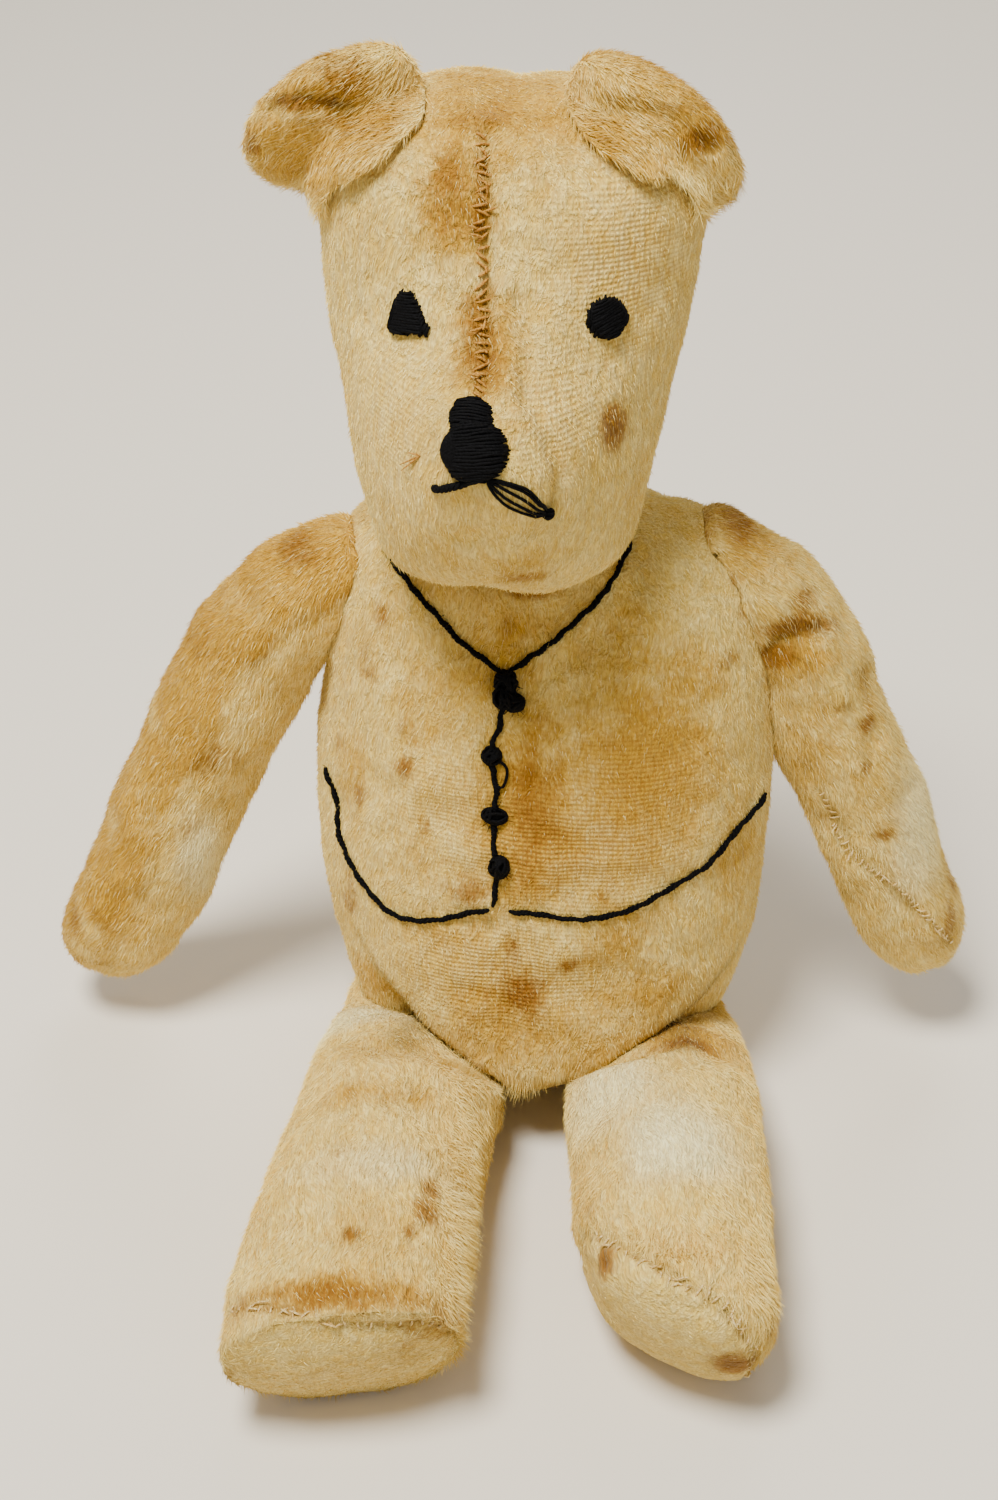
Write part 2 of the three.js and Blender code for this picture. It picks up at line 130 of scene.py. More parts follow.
def linear(red, green, blue):
    """A colour as a painter would mix it, 0 to 255, in the renderer's linear numbers."""

    def channel(value):
        share = value / 255
        return share / 12.92 if share <= 0.04045 else ((share + 0.055) / 1.055) ** 2.4

    return (channel(red), channel(green), channel(blue), 1)


def node(tree, kind, inputs=None, **settings):
    """A new node with its settings made and its inputs linked or set."""
    made = tree.nodes.new(kind)
    for key, value in settings.items():
        setattr(made, key, value)
    for key, value in (inputs or {}).items():
        if isinstance(value, bpy.types.NodeSocket):
            tree.links.new(value, made.inputs[key])
        else:
            made.inputs[key].default_value = value
    return made


def work_out(tree, operation, first, second=0.0, third=0.0):
    made = node(tree, "ShaderNodeMath", {0: first, 1: second, 2: third}, operation=operation)
    return made.outputs[0]


def times(tree, first, second):
    return work_out(tree, "MULTIPLY", first, second)


def vector_step(tree, operation, first, second=(0, 0, 0)):
    made = node(tree, "ShaderNodeVectorMath", {0: first, 1: second}, operation=operation)
    return made.outputs[0]


def scaled(tree, vector, by):
    made = node(tree, "ShaderNodeVectorMath", {0: vector, "Scale": by}, operation="SCALE")
    return made.outputs[0]


def grade(tree, value, low, high, start=0.0, end=1.0):
    inputs = {"Value": value, "From Min": low, "From Max": high, "To Min": start, "To Max": end}
    made = node(tree, "ShaderNodeMapRange", inputs, interpolation_type="SMOOTHSTEP")
    return made.outputs["Result"]


def blend_colours(tree, share, first, second, mode="MIX"):
    made = node(tree, "ShaderNodeMix", {0: share, 6: first, 7: second}, data_type="RGBA", blend_type=mode)
    return made.outputs[2]


def grain(tree, vector, scale, detail=2.0, roughness=0.5, colour=False):
    inputs = {"Vector": vector, "Scale": scale, "Detail": detail, "Roughness": roughness}
    made = node(tree, "ShaderNodeTexNoise", inputs, noise_dimensions="3D")
    return made.outputs["Color" if colour else "Fac"]


def shader_group(name, inputs, outputs):
    """An empty shader node group, with its input node's and output node's sockets by name."""
    tree = bpy.data.node_groups.new(name, "ShaderNodeTree")
    for label, (kind, value) in inputs.items():
        socket = tree.interface.new_socket(label, in_out="INPUT", socket_type=kind)
        if value is not None:
            socket.default_value = value
    for label, kind in outputs.items():
        tree.interface.new_socket(label, in_out="OUTPUT", socket_type=kind)
    return tree, tree.nodes.new("NodeGroupInput").outputs, tree.nodes.new("NodeGroupOutput").inputs


def place_group(tree, group, inputs):
    return node(tree, "ShaderNodeGroup", inputs, node_tree=group).outputs


# ---------------------------------------------------------------- shared shader groups


def make_combed_pile():
    """Fibres that lie along Z, and the wider clumps that they mat into."""
    tree, given, put = shader_group(
        "combed pile",
        {"Vector": ("NodeSocketVector", None)},
        {"Fibre": "NodeSocketFloat", "Clump": "NodeSocketFloat", "Height": "NodeSocketFloat"},
    )
    wander = grain(tree, given["Vector"], 130, 2, colour=True)
    wander = vector_step(tree, "SUBTRACT", wander, (0.5, 0.5, 0.5))
    wander = vector_step(tree, "MULTIPLY", wander, (0.004, 0.004, 0.004))
    bent = vector_step(tree, "ADD", given["Vector"], wander)
    fine = grain(tree, vector_step(tree, "MULTIPLY", bent, (1, 1, 0.16)), 2000, 2.5, 0.6)
    wide = grain(tree, vector_step(tree, "MULTIPLY", bent, (1, 1, 0.38)), 480, 2, 0.55)
    fibre = grade(tree, fine, 0.3, 0.7)
    clump = grade(tree, wide, 0.28, 0.72)
    tree.links.new(fibre, put["Fibre"])
    tree.links.new(clump, put["Clump"])
    height = work_out(tree, "MULTIPLY_ADD", clump, 1.3, times(tree, fibre, 0.7))
    tree.links.new(height, put["Height"])
    return tree


def make_old_stain():
    """Turns a smooth amount of stain into one with a torn, soaked-in edge."""
    tree, given, put = shader_group(
        "old stain",
        {"Vector": ("NodeSocketVector", None), "Amount": ("NodeSocketFloat", 0.0)},
        {"Mask": "NodeSocketFloat"},
    )
    blotch = grain(tree, given["Vector"], 170, 3, 0.6)
    speck = grain(tree, vector_step(tree, "MULTIPLY", given["Vector"], (1, 1, 0.4)), 1100, 2, 0.6)
    torn = work_out(tree, "MULTIPLY_ADD", blotch, 0.9, times(tree, speck, 0.5))
    reach = work_out(tree, "ADD", given["Amount"], work_out(tree, "SUBTRACT", torn, 0.7))
    held = times(tree, grade(tree, reach, 0.18, 0.85), grade(tree, given["Amount"], 0, 0.25))
    tree.links.new(held, put["Mask"])
    return tree


def make_backing_weave():
    """The square weave of the cloth that the pile is woven into."""
    tree, given, put = shader_group(
        "backing weave",
        {"Vector": ("NodeSocketVector", None), "Pitch": ("NodeSocketFloat", 0.95 * MM)},
        {"Threads": "NodeSocketFloat"},
    )
    wander = grain(tree, given["Vector"], 160, 1, colour=True)
    wander = vector_step(tree, "MULTIPLY", wander, (0.0007, 0.0007, 0.0007))
    parts = node(tree, "ShaderNodeSeparateXYZ", {0: vector_step(tree, "ADD", given["Vector"], wander)})
    turns = work_out(tree, "DIVIDE", 2 * math.pi, given["Pitch"])
    warp = work_out(tree, "SINE", times(tree, parts.outputs["X"], turns))
    weft = work_out(tree, "SINE", times(tree, parts.outputs["Z"], turns))
    warp = work_out(tree, "MULTIPLY_ADD", warp, 0.5, 0.5)
    weft = work_out(tree, "MULTIPLY_ADD", weft, 0.5, 0.5)
    rows = times(tree, times(tree, warp, weft), 0.75)
    tree.links.new(work_out(tree, "MULTIPLY_ADD", weft, 0.25, rows), put["Threads"])
    return tree


COMBED_PILE = make_combed_pile()
OLD_STAIN = make_old_stain()
BACKING_WEAVE = make_backing_weave()

CREAM = linear(238, 206, 102)
PALE_FIBRE_AND_HIGHLIGHT = linear(255, 240, 166)
BLEACH_AND_HIGHLIGHT = linear(255, 247, 192)
HONEY = linear(202, 154, 28)
RUST = linear(148, 94, 6)
DEEP_SHADE = linear(170, 126, 40)
DARK_BROWN = linear(80, 42, 2)


# ---------------------------------------------------------------- plush


def new_material(name, roughness, sheen=0.0):
    material = bpy.data.materials.new(name)
    material.use_nodes = True
    tree = material.node_tree
    surface = tree.nodes["Principled BSDF"]
    surface.inputs["Roughness"].default_value = roughness
    surface.inputs["Specular IOR Level"].default_value = 0.25
    surface.inputs["Sheen Weight"].default_value = sheen
    surface.inputs["Sheen Roughness"].default_value = 0.4
    surface.inputs["Sheen Tint"].default_value = linear(255, 232, 176)
    return material, tree, surface


def soiled_plush(tree, vector, clump):
    """The plush colour from the marks kept on the cloth: stains, yellowing, paling that is bleaching and in
    places painted highlight, paler clumps, and painted shade with some grime in folds and creases.
    Also returns how worn the cloth is."""
    marks = node(tree, "ShaderNodeAttribute", attribute_name="marks")
    parts = node(tree, "ShaderNodeSeparateColor", {0: marks.outputs["Color"]})
    rust, toning = parts.outputs["Red"], parts.outputs["Green"]
    stain = place_group(tree, OLD_STAIN, {"Vector": vector, "Amount": rust})["Mask"]
    tone = place_group(tree, OLD_STAIN, {"Vector": vector, "Amount": toning})["Mask"]
    layers = (
        (grade(tree, grain(tree, vector, 32, 4, 0.55), 0.44, 0.74, 0, 0.5), HONEY),
        # paling: bleached cloth, and on the legs' tops a painted highlight
        (grade(tree, toning, -0.1, -1, 0, 0.9), BLEACH_AND_HIGHLIGHT),
        (times(tree, tone, 0.85), HONEY),
        (times(tree, stain, 0.85), RUST),
        (times(tree, grade(tree, rust, 0.75, 1.1, 0, 0.5), stain), DARK_BROWN),
        # painted shade in folds and creases, with some grime along the seams
        (times(tree, marks.outputs["Alpha"], 0.8), DARK_BROWN),
    )
    # paler clumps: on the skins these are the pile's crests, a painted highlight; on loose fibres a random paler
    # tone
    colour = blend_colours(tree, times(tree, clump, 0.55), CREAM, PALE_FIBRE_AND_HIGHLIGHT)
    for share, shade in layers:
        colour = blend_colours(tree, share, colour, shade)
    return colour, parts.outputs["Blue"]


def plush_material(name, comb_turn):
    """Matted plush whose pile lies along Z once its coordinates are turned by comb_turn."""
    material, tree, surface = new_material(name, 0.92, 0.2)
    place = node(tree, "ShaderNodeTexCoord").outputs["Object"]
    turned = node(tree, "ShaderNodeMapping", {"Vector": place, "Rotation": comb_turn}).outputs[0]
    pile = place_group(tree, COMBED_PILE, {"Vector": turned})
    colour, worn = soiled_plush(tree, turned, pile["Clump"])
    weave = place_group(tree, BACKING_WEAVE, {"Vector": turned})["Threads"]
    # painted shade: darker in the low parts between the fibres, and in the weave's gaps where the pile is worn
    lows = times(tree, work_out(tree, "SUBTRACT", 1.0, pile["Fibre"]), 0.5)
    colour = blend_colours(tree, lows, colour, DEEP_SHADE, "MULTIPLY")
    gaps = times(tree, grade(tree, weave, 0.5, 0.05), worn)
    colour = blend_colours(tree, times(tree, gaps, 0.6), colour, DEEP_SHADE, "MULTIPLY")
    tree.links.new(colour, surface.inputs["Base Color"])
    kept_pile = work_out(tree, "SUBTRACT", 1.0, times(tree, worn, 0.75))
    woven = times(tree, times(tree, weave, worn), 0.6)
    relief = work_out(tree, "MULTIPLY_ADD", pile["Height"], kept_pile, woven)
    bump = node(tree, "ShaderNodeBump", {"Height": relief, "Strength": 1.0, "Distance": 0.42 * MM})
    tree.links.new(bump.outputs[0], surface.inputs["Normal"])
    return material


def fibre_material():
    """Loose pile: the cloth's own marks with their painted shade and highlight, and each fibre a little
    lighter or darker.
    """
    material, tree, surface = new_material("plush fibre", 0.8, 0.2)
    place = node(tree, "ShaderNodeTexCoord").outputs["Object"]
    clump = grade(tree, grain(tree, place, 330, 2), 0.35, 0.65)
    colour, _ = soiled_plush(tree, place, clump)
    shade = node(tree, "ShaderNodeAttribute", attribute_name="shade").outputs["Fac"]
    colour = blend_colours(tree, grade(tree, shade, 0.4, 0, 0, 0.25), colour, HONEY)
    colour = blend_colours(tree, grade(tree, shade, 0.5, 1, 0, 0.5), colour, PALE_FIBRE_AND_HIGHLIGHT)
    tree.links.new(colour, surface.inputs["Base Color"])
    return material


# ---------------------------------------------------------------- making stuffed skins


def add_object(name, mesh):
    obj = bpy.data.objects.new(name, mesh)
    bpy.context.scene.collection.objects.link(obj)
    return obj


def settle(obj):
    """Makes what the object's modifiers give its own mesh."""
    graph = bpy.context.evaluated_depsgraph_get()
    mesh = bpy.data.meshes.new_from_object(
        obj.evaluated_get(graph), preserve_all_data_layers=True, depsgraph=graph
    )
    obj.modifiers.clear()
    obj.data = mesh


def object_from(name, bm):
    """A new object made of a bmesh, which is freed."""
    mesh = bpy.data.meshes.new(name)
    bm.to_mesh(mesh)
    bm.free()
    return add_object(name, mesh)


def merged_copy(name):
    """A bmesh copy of a CAD node, with its loose corners merged."""
    bm = bmesh.new()
    bm.from_mesh(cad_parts[name].data)
    bmesh.ops.remove_doubles(bm, verts=bm.verts, dist=0.005 * MM)
    return bm


def points_of(mesh, field="co"):
    flat = np.empty(len(mesh.vertices) * 3, np.float32)
    mesh.vertices.foreach_get(field, flat)
    return flat.reshape(-1, 3)


def normals_of(mesh):
    return points_of(mesh, "normal")


def tree_of(obj):
    return BVHTree.FromObject(obj, bpy.context.evaluated_depsgraph_get())


def falloff(distance, width):
    """1 at no distance, and nearly 0 at twice the width."""
    return np.exp(-((distance / width) ** 2))


def move_points(mesh, points):
    mesh.vertices.foreach_set("co", np.ascontiguousarray(points, np.float32).ravel())
    mesh.update()


def soften(skin, iterations):
    modifier = skin.modifiers.new("soften", "SMOOTH")
    modifier.factor, modifier.iterations = 0.5, iterations


def stuffed_skin(name, voxel, smoothing=10):
    """A skin round one stuffing, a cloth's thickness outside it, made of even small faces."""
    skin = object_from(name, merged_copy(f"{name}_stuffing"))
    swell = skin.modifiers.new("swell", "DISPLACE")
    swell.direction, swell.mid_level, swell.strength = "NORMAL", 0, PLUSH
    even = skin.modifiers.new("even", "REMESH")
    even.mode, even.voxel_size = "VOXEL", voxel
    soften(skin, smoothing)
    settle(skin)
    skin.data.shade_smooth()
    return skin


def seam_distance(points, nodes):
    """How far each point lies from the seam between its nearest two CAD panels, and which is nearest."""
    trees = [BVHTree.FromBMesh(merged_copy(name)) for name in nodes]
    reach = np.array([[tree.find_nearest(Vector(p))[3] for tree in trees] for p in points])
    ordered = np.sort(reach, axis=1)
    return ordered[:, 1] - ordered[:, 0], reach.argmin(axis=1)


def plump(skin, nodes, cap, pressure):
    """Fills the skin with a cloth simulation under pressure, held by its seams."""
    before = points_of(skin.data)
    held = falloff(seam_distance(before, nodes)[0], SEAM_HOLD)
    group = skin.vertex_groups.new(name="seam")
    for index, weight in enumerate(held):
        if weight > 0.02:
            group.add([index], float(weight), "REPLACE")
    cloth = skin.modifiers.new("Cloth", "CLOTH")
    settings = cloth.settings
    settings.quality = 5
    settings.mass = 0.15
    settings.tension_stiffness = settings.compression_stiffness = 12
    settings.bending_stiffness = 0.4
    settings.use_pressure = True
    settings.uniform_pressure_force = pressure
    settings.effector_weights.gravity = 0
    settings.vertex_group_mass = "seam"
    settings.shrink_min = -0.02
    frames = 20
    cloth.point_cache.frame_end = frames
    for number in range(1, frames + 1):
        bpy.context.scene.frame_set(number)
    settle(skin)
    bpy.context.scene.frame_set(1)
    moved = points_of(skin.data) - before
    length = np.linalg.norm(moved, axis=1, keepdims=True)
    moved *= np.minimum(1, cap / np.maximum(length, 1e-9))
    move_points(skin.data, before + moved)


def lumps(points, size, depth, seed):
    """Uneven stuffing: slow swells and hollows over the skin."""
    return np.array(
        [noise.noise(Vector(p) / size + Vector((seed, 0, 0))) * depth for p in points], np.float32
    )


def keep_clear(skin, neighbour):
    """Pushes the skin out of its neighbour where the two are sewn together."""
    tree = tree_of(neighbour)
    points = points_of(skin.data)
    for index, place in enumerate(points):
        near, normal, _, _ = tree.find_nearest(Vector(place), 12 * MM)
        if near is not None and (Vector(place) - near).dot(normal) < SEWN_GAP:
            points[index] = near + normal * SEWN_GAP
    move_points(skin.data, points)


def fill_joint(skin, neighbour, reach, amount):
    """Swells the skin where it meets its neighbour, so that the joint between them is shallow."""
    tree = tree_of(neighbour)
    points, normals = points_of(skin.data), normals_of(skin.data)
    for index, place in enumerate(points):
        found = tree.find_nearest(Vector(place), reach)
        if found[0] is not None:
            points[index] += normals[index] * amount * (1 - found[3] / reach) ** 2
    move_points(skin.data, points)


def finer(skin):
    """One subdivision, applied."""
    subdivide = skin.modifiers.new("finer", "SUBSURF")
    subdivide.levels = subdivide.render_levels = 1
    settle(skin)
    skin.data.shade_smooth()


# ---------------------------------------------------------------- marks on the cloth


def set_values(mesh, name, kind, values):
    attribute = mesh.attributes.new(name, kind, "POINT")
    field = {"FLOAT": "value", "FLOAT_VECTOR": "vector", "FLOAT_COLOR": "color"}[kind]
    attribute.data.foreach_set(field, np.ascontiguousarray(values, np.float32).ravel())


def box_of(nodes):
    """The lowest and highest corner of several CAD nodes."""
    corners = np.array([[list(c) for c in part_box(name)] for name in nodes])
    return corners[:, 0].min(axis=0), corners[:, 1].max(axis=0)


def share_point(nodes, share):
    """The point at a share of the width, depth and height of some CAD nodes' box."""
    low, high = box_of(nodes)
    return Vector(low + (high - low) * np.array(share))


def on_skin(points, nodes, place):
    """The skin's own point nearest to a share of some CAD nodes' box."""
    spot = np.array(share_point(nodes, place))
    return points[np.linalg.norm(points - spot, axis=1).argmin()]


def spread(points, nodes, spots, lying=False):
    """How much of a mark each point takes. A spot is (place, half width, half height, strength):
    its place is a share of the piece's box, and its height runs up, or forward on a lying piece."""
    total = np.zeros(len(points), np.float32)
    for place, half_width, half_height, strength in spots:
        deep = max(half_width, half_height)
        reach = (half_width, half_height, deep) if lying else (half_width, deep, half_height)
        offset = (points - on_skin(points, nodes, place)) / (np.array(reach) * MM)
        far = np.linalg.norm(offset, axis=1)
        total = np.maximum(total, strength * np.exp(-0.7 * far**2.2))
    return total


def line_distance(points, nodes, route):
    """How far each point lies from a line through several shares of some CAD nodes' box."""
    path = [on_skin(points, nodes, place) for place in route]
    best = np.full(len(points), 1.0)
    for a, b in zip(path, path[1:]):
        along = np.clip(((points - a) @ (b - a)) / ((b - a) @ (b - a)), 0, 1)
        best = np.minimum(best, np.linalg.norm(points - (a + along[:, None] * (b - a)), axis=1))
    return best


# ---------------------------------------------------------------- loose pile


def make_spike():
    """One pile fibre: a straight three-sided spike, one unit long."""
    bm = bmesh.new()
    bmesh.ops.create_cone(bm, cap_ends=True, segments=3, radius1=1, radius2=0, depth=1)
    bmesh.ops.translate(bm, verts=bm.verts, vec=(0, 0, 0.5))
    bmesh.ops.remove_doubles(bm, verts=bm.verts, dist=0.001)
    spike = object_from("pile spike", bm)
    spike.hide_render = True
    return spike


def named(tree, name, kind="FLOAT"):
    made = node(tree, "GeometryNodeInputNamedAttribute", {"Name": name}, data_type=kind)
    return next(s for s in made.outputs if s.enabled and s.name == "Attribute")


def random_value(tree, low, high, seed):
    inputs = {2: low, 3: high, 8: seed}
    return node(tree, "FunctionNodeRandomValue", inputs, data_type="FLOAT").outputs[1]


def random_vector(tree, size, seed):
    inputs = {0: (-size,) * 3, 1: (size,) * 3, 8: seed}
    return node(tree, "FunctionNodeRandomValue", inputs, data_type="FLOAT_VECTOR").outputs[0]


def store(tree, geometry, name, kind, value, domain):
    made = node(tree, "GeometryNodeStoreNamedAttribute", data_type=kind, domain=domain)
    tree.links.new(geometry, made.inputs["Geometry"])
    made.inputs["Name"].default_value = name
    tree.links.new(value, next(s for s in made.inputs if s.enabled and s.name == "Value"))
    return made.outputs[0]


def pile_tree(spike, density, length, seed):
    """Geometry nodes that lay spikes over a skin, along its comb direction."""
    width = 0.1 * MM
    lift, stray = 0.25, 0.26  # out of the cloth, and any way, for each unit along the comb
    tree = bpy.data.node_groups.new("plush pile", "GeometryNodeTree")
    tree.interface.new_socket("Geometry", in_out="INPUT", socket_type="NodeSocketGeometry")
    tree.interface.new_socket("Geometry", in_out="OUTPUT", socket_type="NodeSocketGeometry")
    skin = tree.nodes.new("NodeGroupInput").outputs[0]
    per_area = times(tree, named(tree, "pile"), density)
    inputs = {"Mesh": skin, "Density": per_area, "Seed": seed}
    points = node(tree, "GeometryNodeDistributePointsOnFaces", inputs)
    upright = points.outputs["Normal"]
    comb = named(tree, "comb", "FLOAT_VECTOR")
    raised = node(tree, "ShaderNodeVectorMath", {0: comb, 1: upright}, operation="DOT_PRODUCT")
    out_part = scaled(tree, upright, raised.outputs["Value"])
    flat = vector_step(tree, "NORMALIZE", vector_step(tree, "SUBTRACT", comb, out_part))
    lifted = times(tree, random_value(tree, 0.4, 1.6, seed + 1), lift)
    lifted = times(tree, lifted, work_out(tree, "MULTIPLY_ADD", named(tree, "stand"), 4, 1))
    way = vector_step(tree, "ADD", flat, scaled(tree, upright, lifted))
    way = vector_step(tree, "ADD", way, random_vector(tree, stray, seed + 2))
    turn = node(tree, "FunctionNodeAlignRotationToVector", {"Vector": way}, axis="Z")
    reach = times(tree, random_value(tree, 0.55, 1.25, seed + 3), length)
    reach = times(tree, reach, named(tree, "reach"))
    girth = times(tree, random_value(tree, 0.7, 1.3, seed + 4), width)
    size = node(tree, "ShaderNodeCombineXYZ", {"X": girth, "Y": girth, "Z": reach}).outputs[0]
    shape = node(tree, "GeometryNodeObjectInfo", {"Object": spike}).outputs["Geometry"]
    local = node(tree, "GeometryNodeInputPosition").outputs[0]
    shape = store(tree, shape, "local", "FLOAT_VECTOR", local, "POINT")
    inputs = {"Points": points.outputs["Points"], "Instance": shape, "Scale": size}
    inputs["Rotation"] = turn.outputs[0]
    spikes = node(tree, "GeometryNodeInstanceOnPoints", inputs).outputs[0]
    spikes = store(tree, spikes, "shade", "FLOAT", random_value(tree, 0, 1, seed + 5), "INSTANCE")
    loose = node(tree, "GeometryNodeRealizeInstances", {"Geometry": spikes}).outputs[0]
    parts = node(tree, "ShaderNodeSeparateXYZ", {0: named(tree, "local", "FLOAT_VECTOR")})
    across = times(tree, parts.outputs["X"], SPIKE_UV)
    along = times(tree, parts.outputs["Y"], SPIKE_UV)
    along = work_out(tree, "MULTIPLY_ADD", parts.outputs["Z"], 3 * SPIKE_UV, along)
    offset = node(tree, "ShaderNodeCombineXYZ", {"X": across, "Y": along}).outputs[0]
    spot = vector_step(tree, "ADD", named(tree, "wrap", "FLOAT_VECTOR"), offset)
    loose = store(tree, loose, "OFBake", "FLOAT2", spot, "CORNER")
    tree.links.new(loose, tree.nodes.new("NodeGroupOutput").inputs[0])
    return tree


def grow_pile(skin, spike, material, density, length, seed):
    """A separate piece of loose fibres over a skin. Length is in mm, density in fibres per mm²."""
    pile = add_object(f"{skin.name}_pile", skin.data.copy())
    layer = pile.modifiers.new("pile", "NODES")
    layer.node_group = pile_tree(spike, density / MM**2, length * MM, seed)
    settle(pile)
    points = points_of(pile.data)
    points[:, 2] = np.maximum(points[:, 2], CAD_BOX[0].z)
    move_points(pile.data, points)
    for extra in ("local", "wrap", "comb", "pile", "reach", "stand"):
        if extra in pile.data.attributes:
            pile.data.attributes.remove(pile.data.attributes[extra])
    pile.data.materials.clear()
    pile.data.materials.append(material)
    return pile


# ---------------------------------------------------------------- sewing thread


def smooth_path(points, step):
    """Points a step apart along a smooth curve through the given ones."""
    ends = [points[0] * 2 - points[1], *points, points[-1] * 2 - points[-2]]
    path = []
    for a, b, c, d in zip(ends, ends[1:], ends[2:], ends[3:]):
        count = max(1, round((c - b).length / step))
        for i in range(count):
            t = i / count
            path.append(
                0.5 * (2 * b + (c - a) * t + (2 * a - 5 * b + 4 * c - d) * t**2
                       + (3 * b - a - 3 * c + d) * t**3)
            )
    return [*path, points[-1]]


def tubes(name, strands, radius, material, sides=1, cyclic=False):
    """One closed mesh of round strands, thinner at their ends."""
    curve = bpy.data.curves.new(name, "CURVE")
    curve.dimensions = "3D"
    curve.bevel_depth = radius
    curve.bevel_resolution = sides
    curve.use_fill_caps = True
    for strand in strands:
        spline = curve.splines.new("POLY")
        spline.points.add(len(strand) - 1)
        spline.use_cyclic_u = cyclic
        for i, (point, place) in enumerate(zip(spline.points, strand)):
            point.co = (*place, 1)
            tip = not cyclic and i in (0, len(strand) - 1)
            point.radius = 0.45 if tip else 1
    obj = add_object(name, curve)
    graph = bpy.context.evaluated_depsgraph_get()
    mesh = bpy.data.meshes.new_from_object(obj.evaluated_get(graph), depsgraph=graph)
    bpy.data.objects.remove(obj)
    made = add_object(name, mesh)
    made.data.shade_smooth()
    made.data.materials.clear()
    made.data.materials.append(material)
    return made


class Surface:
    """The outside of a skin, to lay thread on."""

    def __init__(self, skin):
        self.tree = tree_of(skin)

    def at(self, place, height):
        near, normal, _, _ = self.tree.find_nearest(place)
        return near + normal * height

    def normal(self, place):
        return self.tree.find_nearest(place)[1]


def rope(surface, route, ply=0.37 * MM, twist=2.9 * MM, stitch=4.8 * MM):
    """Three plies twisted round each other along a route, dipping into the cloth at each stitch."""
    path = smooth_path([surface.at(p, 0) for p in route], 0.35 * MM)
    strands = [[], [], []]
    for i, place in enumerate(path):
        before, after = path[max(0, i - 1)], path[min(len(path) - 1, i + 1)]
        normal = surface.normal(place)
        side = (after - before).cross(normal).normalized()
        uneven = noise.noise(place / (5 * MM))
        run = i * 0.35 * MM + uneven * 1.2 * MM
        arch = abs(math.sin(math.pi * run / stitch))
        sway = (0.18 * math.sin(2 * math.pi * run / stitch + 0.8) + 0.35 * noise.noise(place / (9 * MM))) * MM
        centre = surface.at(place, (0.2 + 0.5 * arch) * MM) + side * sway
        thin = min(1, 0.35 + 0.3 * min(i, len(path) - 1 - i) * 0.35)
        swell = ply * (0.68 + 0.4 * arch) * (1 + 0.4 * uneven) * thin
        for k, strand in enumerate(strands):
            angle = 2 * math.pi * (run / twist + k / 3)
            strand.append(centre + side * math.cos(angle) * swell + normal * math.sin(angle) * swell)
    return strands


def lint(surface, route, gap=1.3 * MM):
    """Short hairs that stand off a sewn line, for its worn look."""
    hairs = []
    for place in smooth_path([surface.at(p, 0.4 * MM) for p in route], gap):
        way = Vector([random.uniform(-1, 1) for _ in range(3)]).normalized()
        reach = random.uniform(0.7, 1.7) * MM
        hairs.append([surface.at(place + way * reach * t, (0.3 + 0.5 * t) * MM) for t in (0, 0.5, 1)])
    return hairs


def satin(surface, centre, outline, turn, rise, spacing=0.5, jag=0.45):
    """Stitches side by side over an outline, in mm round a centre: each runs across it at the
    angle `turn`, lifted in its middle and pulled into the cloth at its two ragged ends."""
    normal = surface.normal(centre)
    right = normal.cross(UP).normalized() * -1
    upward = right.cross(normal).normalized() * -1
    if upward.z < 0:
        upward = -upward
    spin = Matrix.Rotation(-turn, 2)
    turned = [spin @ Vector(p) for p in outline]
    low, high = min(p.y for p in turned), max(p.y for p in turned)
    strands = []
    rows = max(2, round((high - low) / spacing))
    for row in range(rows):
        level = low + (high - low) * (row + 0.5) / rows
        cuts = []
        for a, b in zip(turned, turned[1:] + turned[:1]):
            if (a.y - level) * (b.y - level) < 0:
                cuts.append(a.x + (b.x - a.x) * (level - a.y) / (b.y - a.y))
        if len(cuts) < 2:
            continue
        start = min(cuts) - random.uniform(-0.3, 1) * jag
        end = max(cuts) + random.uniform(-0.3, 1) * jag
        lean = random.uniform(-0.5, 0.5) * spacing
        strand = []
        for i in range(9):
            t = i / 8
            spot = Matrix.Rotation(turn, 2) @ Vector((start + (end - start) * t, level + lean * (2 * t - 1)))
            height = rise * math.sin(math.pi * t) ** 0.4 - 0.35 * (t in (0, 1))
            flat = centre + (right * spot.x + upward * spot.y) * MM
            strand.append(surface.at(flat, (height + random.uniform(-0.06, 0.06)) * MM))
        strands.append(strand)
    return strands


def knot_loops(surface, centre, size, loops=9):
    """The wraps of a thread knot: closed rings that lie on a small ball, each turned its own way.
    The ball's half width, half height and half depth are in mm."""
    normal = surface.normal(centre)
    right = UP.cross(normal).normalized()
    upward = normal.cross(right).normalized()
    heart = surface.at(centre, 0.5 * size[2] * MM)
    rings = []
    for _ in range(loops):
        pole = Vector([random.gauss(0, 1) for _ in range(3)]).normalized()
        first = pole.orthogonal().normalized()
        second = pole.cross(first)
        offset = random.uniform(-0.45, 0.45)
        girth = math.sqrt(1 - offset**2)
        ring = []
        for i in range(16):
            angle = 2 * math.pi * i / 16
            spot = pole * offset + (first * math.cos(angle) + second * math.sin(angle)) * girth
            spot *= 1 + random.uniform(-0.05, 0.05)
            lift = max(spot.z * size[2], -0.45 * size[2])
            ring.append(heart + (right * spot.x * size[0] + upward * spot.y * size[1] + normal * lift) * MM)
        rings.append(ring)
    return rings


